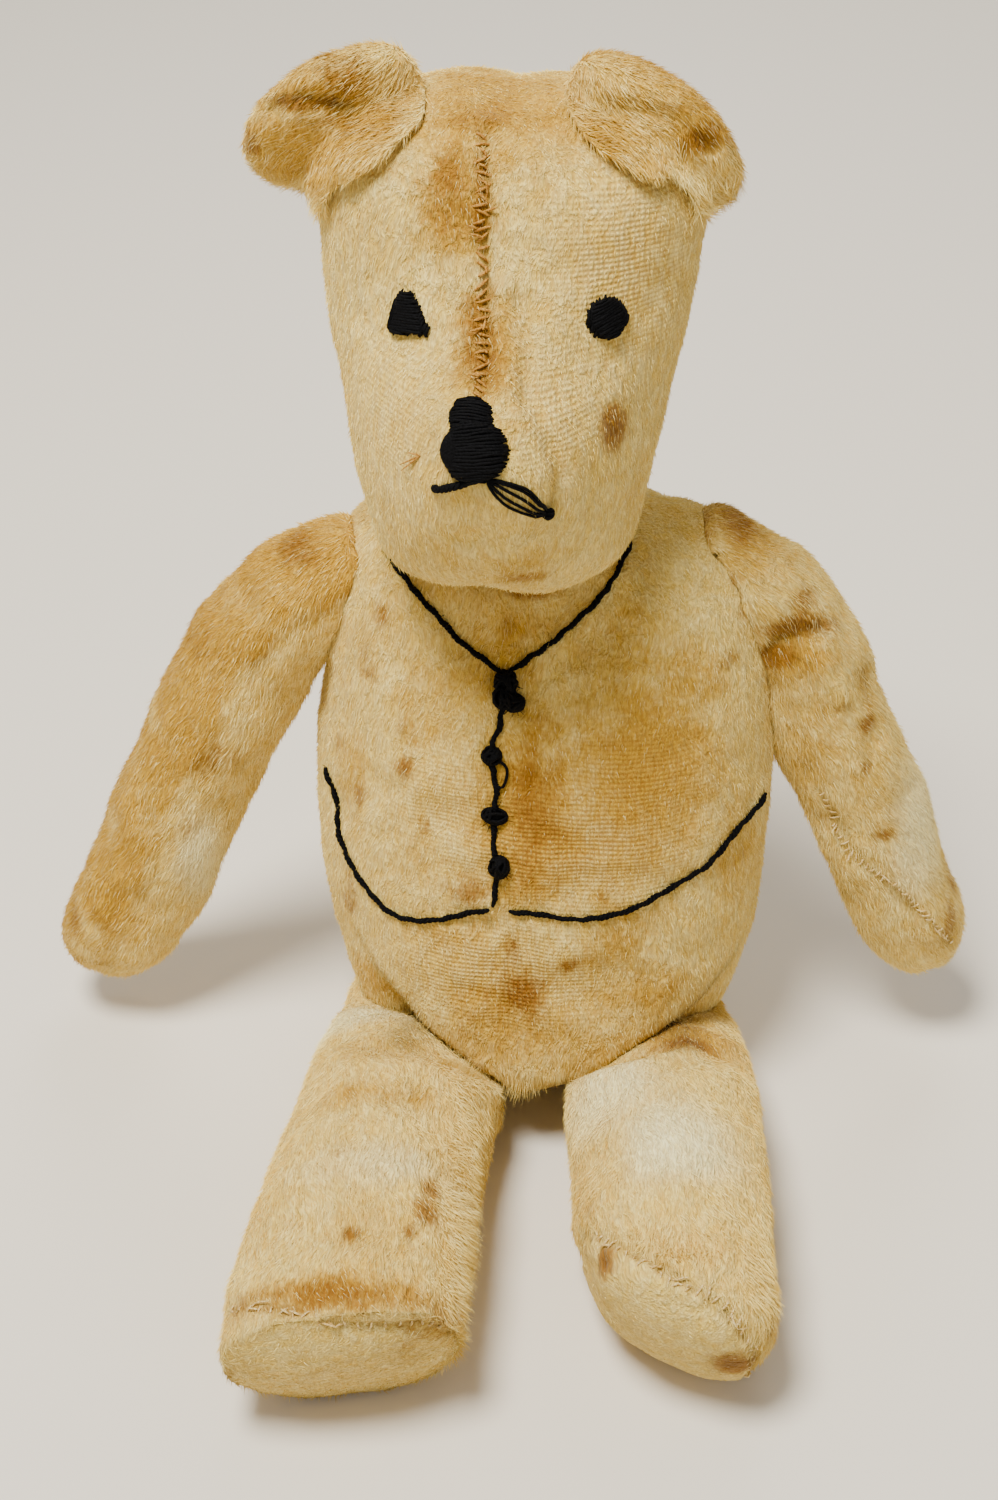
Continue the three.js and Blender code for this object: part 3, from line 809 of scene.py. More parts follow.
def heart_pad(surface, centre, size, material):
    """The buried heart of a knot or a block of stitches: a flattened ball on the skin."""
    bm = bmesh.new()
    bmesh.ops.create_icosphere(bm, subdivisions=3, radius=1)
    bmesh.ops.scale(bm, verts=bm.verts, vec=Vector(size) * MM)
    turn = surface.normal(centre).to_track_quat("-Y", "Z").to_matrix().to_4x4()
    bmesh.ops.transform(bm, matrix=Matrix.Translation(surface.at(centre, 0)) @ turn, verts=bm.verts)
    for vertex in bm.verts:
        height = (vertex.co - surface.at(vertex.co, 0)).dot(surface.normal(vertex.co))
        vertex.co = surface.at(vertex.co, max(-0.4 * MM, height))
    pad = object_from("pad", bm)
    pad.data.shade_smooth()
    pad.data.materials.append(material)
    return pad


def join(name, objects):
    """Several meshes as one piece."""
    bm = bmesh.new()
    material = objects[0].data.materials[0]
    for obj in objects:
        bm.from_mesh(obj.data)
        bpy.data.objects.remove(obj)
    piece = object_from(name, bm)
    piece.data.materials.append(material)
    piece.data.shade_smooth()
    return piece


def thread_material(name, colour, painted_sheen, roughness, gloss):
    """Twisted cotton: fine dark hairs over the strand, and lighter ones that are its painted sheen."""
    material, tree, surface = new_material(name, roughness)
    surface.inputs["Specular IOR Level"].default_value = gloss
    place = node(tree, "ShaderNodeTexCoord").outputs["Object"]
    hairs = grade(tree, grain(tree, place, 2600, 2), 0.35, 0.7)
    # lighter hairs: painted sheen
    tree.links.new(blend_colours(tree, hairs, colour, painted_sheen), surface.inputs["Base Color"])
    bump = node(tree, "ShaderNodeBump", {"Height": hairs, "Strength": 0.6, "Distance": 0.12 * MM})
    tree.links.new(bump.outputs[0], surface.inputs["Normal"])
    return material


# ---------------------------------------------------------------- the bear's pieces


def declare(piece, nodes):
    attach(piece, "root")
    if nodes:
        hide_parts(*nodes)


def shape_cloth(skin, nodes, folds, seam_depth, lump, seed):
    """Gives a skin its lumps, seams and folds. Returns its points, the painted shade and grime in its
    folds, how far each point is from a seam, and the panel that it lies on."""
    points = points_of(skin.data)
    far, nearest = seam_distance(points, nodes)
    groove = falloff(far, 1.7 * MM) * seam_depth * MM
    pillow = falloff(far, 7 * MM) * 0.5 * MM
    fold_shade_and_grime = np.zeros(len(points))
    for route, depth, width, dark in folds:
        near = falloff(line_distance(points, nodes, route), width * MM)
        groove = groove + near * depth * MM
        fold_shade_and_grime = np.maximum(fold_shade_and_grime, near**2 * dark)
    swell = lumps(points, 17 * MM, lump * MM, seed) + lumps(points, 6 * MM, 0.26 * lump * MM, seed + 5)
    points = points + normals_of(skin.data) * (swell - groove - pillow)[:, None]
    points[:, 2] = np.maximum(points[:, 2], CAD_BOX[0].z)
    move_points(skin.data, points)
    return points, fold_shade_and_grime, far, nearest


def unroll(points, lying):
    """Where each point lies on a map that is wrapped once round the piece's long axis."""
    low, high = points.min(axis=0), points.max(axis=0)
    offset = points - (low + high) / 2
    angle = np.arctan2(offset[:, 0], offset[:, 2] if lying else -offset[:, 1])
    run = 1 if lying else 2
    level = (points[:, run] - low[run]) / (high[run] - low[run])
    return np.stack([0.02 + 0.96 * (angle / (2 * math.pi) + 0.5), 0.02 + 0.95 * level, 0 * level], axis=1)


def dress(skin, nodes, comb, seam_depth, lump, seed, lying=False, golden=None, crease_shade=0, bald=0):
    """Relief and marks of one stuffed skin: folds, stains, worn pile, painted shade in folds and creases,
    and the way the pile is combed. Golden is the panel that has yellowed all over."""
    points, fold_shade_and_grime, far, nearest = shape_cloth(skin, nodes, FOLDS[skin.name], seam_depth, lump, seed)
    rust, tone, wear, tuft, pale = (
        spread(points, nodes, MARKS[skin.name].get(kind, ()), lying)
        for kind in ("rust", "tone", "worn", "tufts", "pale")
    )
    if golden is not None:
        inside = np.where(nearest == golden, far, -far) / MM + lumps(points, 9 * MM, 5, seed + 3)
        uneven = 0.8 + lumps(points, 8 * MM, 0.6, seed + 4)
        tone = np.maximum(tone, 1.05 * np.clip((inside + 2) / 5, 0, 1) * uneven)
    # Pale marks push the tone below zero: bleached cloth, and on the legs' tops painted highlight
    tone = np.maximum(tone, 0.55 * rust) - pale
    # The fourth channel is painted shade in folds and creases, with some grime along the seams
    marks = np.stack([rust, tone, wear, np.maximum(fold_shade_and_grime, crease_shade)], axis=1)
    direction = np.repeat(np.array([comb], np.float32), len(points), axis=0)
    direction[:, 0] += lumps(points, 12 * MM, 0.8, seed + 9) + lumps(points, 3 * MM, 0.5, seed + 11)
    direction[:, 2] += lumps(points, 3.4 * MM, 0.4, seed + 12)
    for name, kind, values in (
        ("marks", "FLOAT_COLOR", marks),
        ("pile", "FLOAT", np.clip(1 - 0.85 * wear + 0.8 * tuft, 0.05, 2) * (1 - 0.96 * bald)),
        ("reach", "FLOAT", np.clip(1.0 - 0.4 * wear + 1.1 * tuft, 0.3, 2.2) * (1 - 0.5 * bald)),
        ("stand", "FLOAT", tuft),
        ("comb", "FLOAT_VECTOR", direction),
        ("wrap", "FLOAT_VECTOR", unroll(points, lying)),
    ):
        set_values(skin.data, name, kind, values)


SPIKE_UV = 0.00035  # how wide a fibre lies in the skin's unrolled map
SIDES = ("left", "right")
HAND = {"left": 1, "right": -1}  # the way each side lies along X

TORSO = ("torso_panel_left", "torso_panel_right")
HEAD = ("head_panel_left", "head_panel_right")
EARS = {side: (f"ear_{side}_front", f"ear_{side}_back") for side in SIDES}
ARMS = {side: (f"arm_{side}_outer_panel", f"arm_{side}_inner_panel") for side in SIDES}
LEGS = {side: (f"leg_{side}_upper_panel", f"leg_{side}_under_panel", f"leg_{side}_sole") for side in SIDES}

# Each mark: its place as a share of the piece's box (across, deep, up), half its width and half its
# height in mm, and its strength. Rust is stain, tone is yellowing, worn is bare of pile, pale is bleached
# (on the legs' tops it is painted highlight) and tufts stand up.
MARKS = {
    "torso": {  # by the front edge, over the hem, low on the belly, under the chin, on the back
        "rust": [
            ((0.47, 0.16, 0.63), 6, 17, 0.62), ((0.45, 0.12, 0.55), 4, 8, 0.5), ((0.21, 0.27, 0.64), 3, 2.8, 0.75),
            ((0.21, 0.24, 0.69), 2.4, 2, 0.45), ((0.09, 0.33, 0.56), 2, 3.2, 0.7),
            ((0.05, 0.42, 0.62), 2.2, 2.2, 0.5), ((0.31, 0.12, 0.47), 4.6, 3, 0.6),
            ((0.45, 0.03, 0.3), 5.6, 5.6, 0.85), ((0.42, 0.03, 0.37), 2.4, 6, 0.6), ((0.55, 0.03, 0.36), 2, 3, 0.6),
            ((0.72, 0.12, 0.18), 9, 3, 0.75), ((0.1, 0.3, 0.4), 2, 5, 0.5), ((0.45, 0.39, 0.93), 7, 2.4, 0.9),
            ((0.62, 0.2, 0.72), 8, 3, 0.35), ((0.12, 0.4, 0.86), 3, 5, 0.4), ((0.93, 0.4, 0.88), 2.4, 3, 0.6),
            ((0.3, 0.95, 0.45), 9, 7, 0.45), ((0.66, 0.98, 0.62), 5, 8, 0.4), ((0.99, 0.6, 0.5), 4, 7, 0.5),
            ((0.24, 0.22, 0.55), 2, 2.4, 0.6), ((0.3, 0.2, 0.5), 1.8, 2, 0.5), ((0.62, 0.08, 0.5), 2.6, 3, 0.5),
            ((0.85, 0.4, 0.8), 3, 2.6, 0.55), ((0.08, 0.3, 0.36), 2.6, 4, 0.7), ((0.15, 0.42, 0.86), 2, 3, 0.6),
            ((0.2, 0.28, 0.71), 4.4, 4, 0.42), ((0.1, 0.38, 0.78), 4, 5, 0.45), ((0.42, 0.36, 0.87), 2, 3.4, 0.55),
            ((0.33, 0.1, 0.48), 5, 4, 0.72), ((0.74, 0.07, 0.16), 7, 3, 0.75), ((0.7, 0.2, 0.6), 2, 2, 0.4),
            ((0.64, 0.1, 0.5), 2.4, 2.4, 0.55),
        ],
        "tone": [
            ((0.45, 0.16, 0.6), 12, 24, 0.9), ((0.8, 0.24, 0.71), 12, 13, 0.5), ((0.68, 0.31, 0.86), 13, 9, 0.6),
            ((0.25, 0.32, 0.75), 12, 11, 0.5), ((0.4, 0.3, 0.82), 8, 8, 0.8), ((0.42, 0.02, 0.26), 14, 14, 0.7),
            ((0.11, 0.24, 0.22), 9, 6, 0.8), ((0.75, 0.12, 0.2), 14, 5, 0.8), ((0.3, 0.1, 0.4), 9, 5, 0.6),
            ((0.07, 0.36, 0.6), 5, 14, 0.6), ((0.5, 0.98, 0.5), 22, 26, 0.55), ((0.72, 0.2, 0.68), 19, 18, 0.85),
            ((0.8, 0.3, 0.8), 10, 9, 0.7), ((0.42, 0.35, 0.86), 8, 6, 0.6), ((0.66, 0.08, 0.42), 10, 12, 0.55),
            ((0.88, 0.25, 0.5), 6, 18, 0.6), ((0.72, 0.08, 0.3), 14, 9, 0.6), ((0.2, 0.2, 0.5), 9, 14, 0.4),
            ((0.55, 0.04, 0.2), 14, 8, 0.55),
        ],
        "worn": [
            ((0.55, 0.1, 0.56), 26, 13, 0.95), ((0.4, 0.04, 0.34), 20, 12, 0.9), ((0.7, 0.14, 0.66), 16, 12, 0.7),
            ((0.3, 0.2, 0.6), 12, 14, 0.6), ((0.5, 1.0, 0.4), 24, 24, 0.7),
        ],
        "tufts": [((0.436, -0.05, 0.12), 4, 5, 1), ((0.44, 0.35, 0.88), 11, 4, 0.6)],
    },
    "head": {  # forehead beside the seam, crown, bridge of the nose, cheek, chin, back of the head
        "rust": [
            ((0.34, 0.37, 0.88), 6, 9.5, 0.68), ((0.43, 0.36, 0.89), 1.8, 11, 0.75),
            ((0.44, 0.5, 0.99), 12, 4, 0.5), ((0.43, 0.21, 0.64), 4.6, 9.5, 0.8),
            ((0.44, 0.27, 0.7), 2.4, 5.5, 0.5), ((0.76, 0.22, 0.45), 4.6, 4.8, 0.95),
            ((0.3, 0.09, 0.53), 1.6, 3, 0.5), ((0.54, 0.09, 0.17), 6, 2, 0.7), ((0.3, 0.98, 0.6), 7, 9, 0.5),
            ((0.7, 0.95, 0.35), 5, 6, 0.4),
        ],
        "tone": [
            ((0.36, 0.36, 0.86), 8, 13, 0.9), ((0.45, 0.55, 0.99), 22, 12, 0.85), ((0.44, 0.2, 0.62), 7, 13, 0.8),
            ((0.5, 0.06, 0.2), 14, 6, 0.5), ((0.52, 0.09, 0.56), 3, 4, 0.6), ((0.5, 0.98, 0.5), 20, 22, 0.5),
        ],
        "worn": [
            ((0.78, 0.35, 0.75), 12, 17, 0.85), ((0.62, 0.12, 0.55), 9, 12, 0.7), ((0.2, 0.2, 0.5), 8, 14, 0.55),
        ],
        "tufts": [((0.43, 0.4, 0.92), 2, 6, 0.5), ((0.43, 0.24, 0.67), 1.6, 6, 0.5)],
    },
    "ear_left": {  # along the folded rims and behind
        "rust": [
            ((0.74, 0.03, 0.59), 4, 3, 0.95), ((0.6, 0.1, 0.76), 9, 1.6, 0.5), ((0.86, 0.3, 0.5), 2, 4, 0.6),
            ((0.45, 0.9, 0.6), 6, 4, 0.6),
        ],
        # the strong tone low on the ear is yellowing and also painted shade from the crease against the head
        "tone": [
            ((0.74, 0.05, 0.7), 8, 9, 0.9), ((0.4, 0.1, 0.45), 12, 6, 0.75), ((0.5, 1, 0.6), 18, 14, 0.8),
            ((0.2, 0.2, 0.3), 8, 7, 0.95),
        ],
        "tufts": [((0.05, 0.3, 0.3), 8, 10, 0.5), ((0.4, 0.3, 0.05), 10, 5, 0.5)],
    },
    "ear_right": {
        "rust": [
            ((0.57, 0.05, 0.84), 8, 4.2, 0.62), ((0.36, 0.02, 0.7), 7, 1.6, 0.85),
            ((0.07, 0.23, 0.39), 2.6, 3, 0.95), ((0.5, 0.9, 0.6), 6, 4, 0.6), ((0.5, 0.1, 0.56), 8, 2, 0.5),
        ],
        # the strong tone low on the ear is yellowing and also painted shade from the crease against the head
        "tone": [
            ((0.8, 0.2, 0.3), 8, 7, 0.95), ((0.5, 0.1, 0.75), 13, 5, 0.85), ((0.4, 0.15, 0.4), 16, 7, 0.95),
            ((0.5, 1, 0.6), 18, 14, 0.8),
        ],
        "tufts": [((0.95, 0.3, 0.3), 8, 10, 0.5), ((0.6, 0.3, 0.05), 10, 5, 0.5)],
    },
    "arm_left": {  # shoulder, armpit fold, spots down the front, hand
        "rust": [
            ((0.14, 0.62, 0.98), 8, 2.5, 0.85), ((0.32, 0.16, 0.84), 8, 2.4, 1), ((0.22, 0.19, 0.79), 5, 3, 0.95),
            ((0.42, 0.27, 0.84), 4, 2.2, 0.7), ((0.08, 0.25, 0.92), 2.2, 2.6, 0.6),
            ((0.59, 0.18, 0.63), 2.4, 2.4, 0.85), ((0.58, 0.09, 0.56), 1.9, 2.1, 0.75),
            ((0.64, 0.03, 0.4), 2.8, 2, 0.8), ((0.49, 0.13, 0.68), 2.6, 2.2, 0.65),
            ((0.52, 0.37, 0.79), 2.6, 3, 0.35), ((0.91, 0.12, 0.19), 2, 6, 0.75), ((0.8, 0.02, 0.14), 6, 2.4, 0.45),
            ((0.7, 0.95, 0.5), 4, 9, 0.5), ((0.38, 0.3, 0.9), 6, 3, 0.6), ((0.62, 0.25, 0.72), 3, 6, 0.55),
            ((0.42, 0.1, 0.42), 3, 2.4, 0.6), ((0.95, 0.3, 0.25), 2.4, 5, 0.6),
        ],
        "tone": [
            ((0.15, 0.5, 0.95), 12, 7, 0.7), ((0.3, 0.16, 0.8), 9, 8, 0.9), ((0.38, 0.16, 0.6), 6, 16, 0.6),
            ((0.6, 0.2, 0.6), 6, 14, 0.45), ((0.85, 0.1, 0.15), 9, 8, 0.6), ((0.6, 0.9, 0.5), 12, 16, 0.5),
        ],
        "pale": [((0.72, 0.3, 0.4), 8, 22, 0.8)],
    },
    "arm_right": {
        "rust": [
            ((0.78, 0.45, 0.97), 9, 2.6, 0.85), ((0.55, 0.08, 0.58), 8, 5, 0.55), ((0.68, 0.15, 0.78), 3, 2, 0.5),
            ((0.46, 0.05, 0.42), 6, 4, 0.35), ((0.06, 0.16, 0.19), 2.3, 5, 0.65),
            ((0.18, 0.03, 0.21), 6, 4.6, 0.42), ((0.51, 0.35, 0.79), 8, 6, 0.4), ((0.12, 0.07, 0.09), 6, 2.4, 0.5),
            ((0.5, 0.95, 0.6), 5, 8, 0.4),
        ],
        "tone": [((0.75, 0.3, 0.9), 12, 9, 0.7), ((0.2, 0.1, 0.2), 12, 9, 0.6), ((0.5, 0.9, 0.5), 14, 20, 0.5)],
        "pale": [((0.5, 0.1, 0.35), 6, 16, 0.9), ((0.12, 0.1, 0.12), 7, 7, 0.6)],
    },
    "leg_left": {  # beside the pad, under the belly
        "rust": [
            ((0.14, 0.15, 0.8), 2.4, 3.8, 1), ((0.12, 0.27, 0.78), 1.6, 3.4, 0.5), ((0.74, 0.01, 0.45), 5, 4, 1),
            ((0.64, 0.63, 0.81), 8, 2.6, 0.9), ((0.45, 0.7, 0.88), 12, 3.2, 0.6),
            ((0.18, 0.44, 0.84), 3.4, 6, 0.35), ((0.92, 0.06, 0.6), 1.6, 4, 0.5),
        ],
        "tone": [
            ((0.6, 0.66, 0.85), 18, 9, 0.85), ((0.2, 0.3, 0.8), 6, 12, 0.5), ((0.74, 0.01, 0.45), 8, 6, 0.6),
            ((0.5, 0.2, 0.97), 12, 9, 0.35),
        ],
        # pale patches, mostly on the leg's top: painted highlight
        "pale": [
            ((0.2, 0.52, 0.85), 11, 17, 0.9), ((0.5, 0.34, 0.97), 14, 13, 1), ((0.6, 0.85, 0.9), 10, 5, 0.6),
            ((0.35, 0.05, 0.6), 14, 10, 0.3),
        ],
        "tufts": [((0.5, 0.14, 0.95), 9, 5, 0.9), ((0.85, 0.1, 0.8), 5, 8, 0.6)],
    },
    "leg_right": {  # spots on the shin, the band over the sole, the rim
        "rust": [
            ((0.72, 0.27, 0.9), 2.6, 3, 0.95), ((0.7, 0.22, 0.9), 3, 3.4, 0.9), ((0.66, 0.18, 0.92), 1.6, 1.8, 0.8),
            ((0.46, 0.16, 0.97), 2.2, 2.4, 0.85), ((0.45, 0.05, 0.88), 3, 2.2, 0.85),
            ((0.46, 0.05, 0.9), 20, 4, 0.7), ((0.8, 0.05, 0.84), 5, 4, 0.6), ((0.14, 0.06, 0.7), 5, 4, 0.6),
            ((0.46, 0.46, 0.94), 17, 2.6, 0.3), ((0.4, 0.33, 0.97), 6, 3, 0.36), ((0.06, 0.06, 0.47), 2.8, 5, 0.75),
            ((0.93, 0.08, 0.7), 3, 5, 0.5),
        ],
        "tone": [
            ((0.46, 0.06, 0.9), 22, 5, 0.9), ((0.46, 0.46, 0.94), 19, 5, 0.6), ((0.4, 0.3, 0.97), 16, 5, 0.5),
            ((0.7, 0.25, 0.9), 6, 8, 0.5), ((0.5, 0.62, 0.9), 16, 8, 0.45),
        ],
        # pale patches, mostly on the leg's top: painted highlight
        "pale": [((0.5, 0.3, 0.97), 20, 6, 1), ((0.3, 0.78, 0.9), 13, 9, 0.9), ((0.45, 0, 0.4), 20, 4, 0.5)],
        "worn": [((0.45, 0.0, 0.3), 20, 8, 0.4)],
        "tufts": [((0.9, 0.25, 0.75), 3, 30, 0.8), ((0.85, 0.62, 0.8), 4, 9, 0.9)],
    },
}

HEAD_SEAM = [(0.43, 0.47, 0.96), (0.43, 0.39, 0.91), (0.43, 0.34, 0.85), (0.43, 0.31, 0.79), (0.43, 0.27, 0.70),
             (0.43, 0.20, 0.63), (0.42, 0.12, 0.58)]
SNOUT_FOLD = [(0.51, 0.26, 0.7), (0.53, 0.2, 0.63), (0.54, 0.12, 0.57), (0.59, 0.08, 0.5), (0.62, 0.08, 0.42),
              (0.6, 0.06, 0.36)]
SNOUT_RIDGE = [(across - 0.05, deep, up) for across, deep, up in SNOUT_FOLD]
ARM_SEAM = [(0.41, 0.13, 0.49), (0.53, 0.05, 0.37), (0.71, 0, 0.26), (0.93, 0.11, 0.13)]
PAD_RIM = [(0.11, 0.22, 0.77), (0.22, 0.16, 0.89), (0.45, 0.08, 0.95), (0.64, 0.05, 0.89), (0.8, 0.03, 0.68),
           (0.86, 0.05, 0.3)]
SOLE_SEAM = [(0.1, 0.08, 0.62), (0.25, 0.04, 0.8), (0.45, 0.02, 0.86), (0.7, 0.04, 0.78), (0.88, 0.08, 0.6)]

# Each fold: its route as shares of the piece's box, then its depth, half width (mm) and painted shade
# (with some grime) in its crease.
FOLDS = {
    "torso": [],
    "head": [(HEAD_SEAM, 0.9, 1.5, 0.4), (SNOUT_FOLD, 1.4, 2, 0.2), (SNOUT_RIDGE, -0.6, 2.6, 0)],
    "ear_left": [([(0.22, 0.33, 0.69), (0.46, 0.09, 0.74), (0.66, 0.01, 0.66), (0.79, 0.01, 0.54)], 1.0, 2.2, 0.25)],
    "ear_right": [([(0.16, 0.11, 0.65), (0.35, 0.01, 0.73), (0.58, 0.07, 0.66)], 1.3, 2.2, 0.55)],
    "arm_left": [
        ([(0.19, 0.2, 0.79), (0.24, 0.17, 0.81), (0.32, 0.18, 0.83), (0.4, 0.27, 0.84)], 1.3, 2.2, 0.75),
        (ARM_SEAM, 0.8, 1.6, 0.3),
    ],
    "arm_right": [],
    "leg_left": [([(0.25, 0.62, 0.88), (0.5, 0.55, 0.97), (0.75, 0.6, 0.92)], 0.8, 4, 0.1)],
    "leg_right": [
        ([(0.3, 0.66, 0.85), (0.5, 0.6, 0.97), (0.75, 0.62, 0.93)], 0.9, 4, 0.12),
        ([(0.2, 0.45, 0.9), (0.5, 0.42, 0.97), (0.7, 0.5, 0.93)], 0.7, 4, 0.1),
        (SOLE_SEAM, 0.9, 1.6, 0.45),
    ],
}


def fold_height(x):
    """How high the fold between belly and thighs runs: a V with its tip low in front."""
    tip = share_point(TORSO, (0.436, 0, 0.127))
    aside = x - tip.x
    return tip.z + np.where(aside < 0, -0.72, 0.45) * aside


def shape_belly(skin):
    """Draws the belly's lower edge forward into a V that hangs over the thighs. Returns the painted
    shade in the crease along it."""
    points = points_of(skin.data)
    low, high = box_of(TORSO)
    above = (points[:, 2] - fold_height(points[:, 0])) / MM
    lip = np.where(above > 0, falloff(above, 15), falloff(above, 3.5))
    front = np.clip((low[1] + 0.3 * (high[1] - low[1]) - points[:, 1]) / (14 * MM), 0, 1)
    middle = share_point(TORSO, (0.436, 0, 0)).x
    fade = falloff(points[:, 0] - middle, 36 * MM)
    points[:, 1] -= 5.5 * MM * lip * front * fade
    points[:, 2] -= 1.2 * MM * lip * front * fade
    points[:, 1] += 5 * MM * np.clip(-above / 6, 0, 1) * front * fade
    move_points(skin.data, points)
    return falloff(above + 1.5, 2.6) * front * 0.8


def make_torso():
    skin = stuffed_skin("torso", FINE_VOXEL)
    plump(skin, TORSO, 1.5 * MM, 2.5)
    finer(skin)
    # painted shade in the crease under the belly's V
    crease_shade = shape_belly(skin)
    dress(skin, TORSO, (0, -0.1, -1), seam_depth=0.3, lump=1.0, seed=3, crease_shade=crease_shade)
    return skin


def make_head():
    skin = stuffed_skin("head", FINE_VOXEL)
    plump(skin, HEAD, 1.2 * MM, 2.5)
    finer(skin)
    dress(skin, HEAD, (0, -0.15, -1), seam_depth=0.3, lump=0.9, seed=17)
    return skin


def droop(skin, side, head):
    """Lets an ear's inner end hang down, and lays it over the front of the head."""
    points = points_of(skin.data)
    run = points[:, 0] * -HAND[side]
    inner = np.clip((run - np.median(run)) / (run.max() - np.median(run)), 0, 1)
    lower = np.clip((np.median(points[:, 2]) + 3 * MM - points[:, 2]) / (8 * MM), 0, 1)
    weight = np.sin(0.85 * math.pi * inner) * lower
    points[:, 2] -= 5 * MM * weight
    points[:, 1] -= 4 * MM * weight
    normals = normals_of(skin.data)
    tree = tree_of(head)
    for index, place in enumerate(points):
        hit = tree.ray_cast(Vector((place[0], CAD_BOX[0].y - 50 * MM, place[2])), -AHEAD)[0]
        thick = (0.5 + 3 * (1 - normals[index][1])) * MM
        if hit is not None and place[1] > hit.y - thick:
            points[index][1] = hit.y - thick
    move_points(skin.data, points)
    soften(skin, 6)
    settle(skin)


def make_ear(side, head):
    skin = stuffed_skin(f"ear_{side}", SMALL_VOXEL, 6)
    droop(skin, side, head)
    finer(skin)
    hand = HAND[side]
    dress(skin, EARS[side], (hand * 0.6, -0.3, -0.4), seam_depth=0.5, lump=0.9, seed=29 + hand)
    return skin


def slim(skin, share):
    """Draws a limb in round its own middle line, most at half its length."""
    points = points_of(skin.data)
    middle = points.mean(axis=0)
    axis = np.linalg.svd(points - middle, full_matrices=False)[2][0]
    run = (points - middle) @ axis
    run = (run - run.min()) / (run.max() - run.min())
    steps = np.linspace(0, 1, 25)
    slices = [points[(run >= a) & (run <= b)].mean(axis=0) for a, b in zip(steps, steps[1:])]
    halfway = (steps[:-1] + steps[1:]) / 2
    line = np.stack([np.interp(run, halfway, [c[k] for c in slices]) for k in range(3)], axis=1)
    drawn = share * np.sqrt(np.clip(4 * run * (1 - run), 0, 1))
    move_points(skin.data, points + (line - points) * drawn[:, None])


def make_arm(side):
    skin = stuffed_skin(f"arm_{side}", FINE_VOXEL)
    plump(skin, ARMS[side], 1.2 * MM, 3)
    slim(skin, 0.1 if side == "right" else 0.13)
    finer(skin)
    hand = HAND[side]
    golden = 0 if side == "right" else None
    dress(skin, ARMS[side], (hand * 0.5, 0, -1), seam_depth=0.55, lump=1.1, seed=41 + hand, golden=golden)
    return skin


def square_sole(skin):
    """Turns a foot's rounded end into a flat sole with a crisp rim and a shallow dome."""
    depth, dome_depth, rim_angle = 13 * MM, 3.8 * MM, math.radians(32)
    points = points_of(skin.data)
    low = points.min(axis=0)
    ahead = points[:, 1] - low[1]
    ring = points[(ahead > depth) & (ahead < depth + 4 * MM)]
    middle = np.array([(ring[:, 0].min() + ring[:, 0].max()) / 2, (ring[:, 2].min() + ring[:, 2].max()) / 2])

    def round_middle(places):
        across, up = places[:, 0] - middle[0], places[:, 2] - middle[1]
        return np.arctan2(up, across), np.hypot(across, up)

    turn, girth = round_middle(ring)
    order = np.argsort(turn)
    own_turn, own_girth = round_middle(points)
    full = np.interp(own_turn, turn[order], girth[order], period=2 * math.pi)
    share = np.minimum(own_girth / full, 1)
    rim = math.cos(rim_angle)
    foot = ahead < depth
    dome = foot & (share < rim)
    wide = np.where(dome, share / rim * full, np.maximum(own_girth, full * 1.01))
    bend = depth * (1 - math.sin(rim_angle))
    wall_depth = dome_depth + np.clip(ahead - bend, 0, None) * (depth - dome_depth) / (depth - bend)
    deep = np.where(dome, dome_depth * (share / rim) ** 2, wall_depth)
    moved = np.stack(
        [middle[0] + np.cos(own_turn) * wide, low[1] + deep, middle[1] + np.sin(own_turn) * wide], axis=1
    )
    points[foot] = moved[foot]
    lean = np.clip(1 - (points[:, 1] - low[1]) / (26 * MM), 0, 1)
    points[:, 1] += lean * (2 * MM - 0.3 * (points[:, 2] - middle[1]) + 0.14 * (points[:, 0] - middle[0]))
    move_points(skin.data, points)
    bare = np.where(dome, np.clip((rim - share) / 0.12, 0, 1), 0) * 0.6
    return bare, np.where(foot, falloff(share - rim, 0.05), 0)


def slant_sole(skin, nodes):
    """Flattens a foot's end into a slanting pad with a puckered seam round it."""
    points = points_of(skin.data)
    rim = np.array([share_point(nodes, place) for place in PAD_RIM])
    facing = np.linalg.svd(rim - rim.mean(axis=0))[2][2]
    facing *= -np.sign(facing[1])
    level = rim.mean(axis=0) @ facing
    out = points @ facing - level
    points -= np.where(out > 0, 0.45 * out, 0)[:, None] * facing
    heart = points[out > 0].mean(axis=0)
    around = np.arctan2(points[:, 2] - heart[2], points[:, 0] - heart[0])
    edge = falloff(out, 1.6 * MM) * (points[:, 2] > 3 * MM)
    pucker = np.sin(around * 30 + 2 * np.sin(around * 5)) * falloff(out, 3.5 * MM) * 0.35 * MM
    points += normals_of(skin.data) * (pucker - 0.8 * MM * edge)[:, None]
    move_points(skin.data, points)
    return np.clip(out / (2 * MM), 0, 1), edge


def tuck_under_belly(skin):
    """Presses a thigh down below the fold of the belly. Returns the painted shade in the crease."""
    points = points_of(skin.data)
    ahead = share_point(TORSO, (0, 0, 0)).y - 5 * MM - points[:, 1]
    limit = fold_height(points[:, 0]) + np.where(ahead > 0, 1.2 * ahead, 0.2 * ahead) - 0.5 * MM
    over = points[:, 2] - limit
    points[:, 2] -= np.where(over > 0, over, 0)
    move_points(skin.data, points)
    return falloff(np.clip(ahead, 0, 1), 3 * MM) * falloff(over, 3 * MM) * 0.6


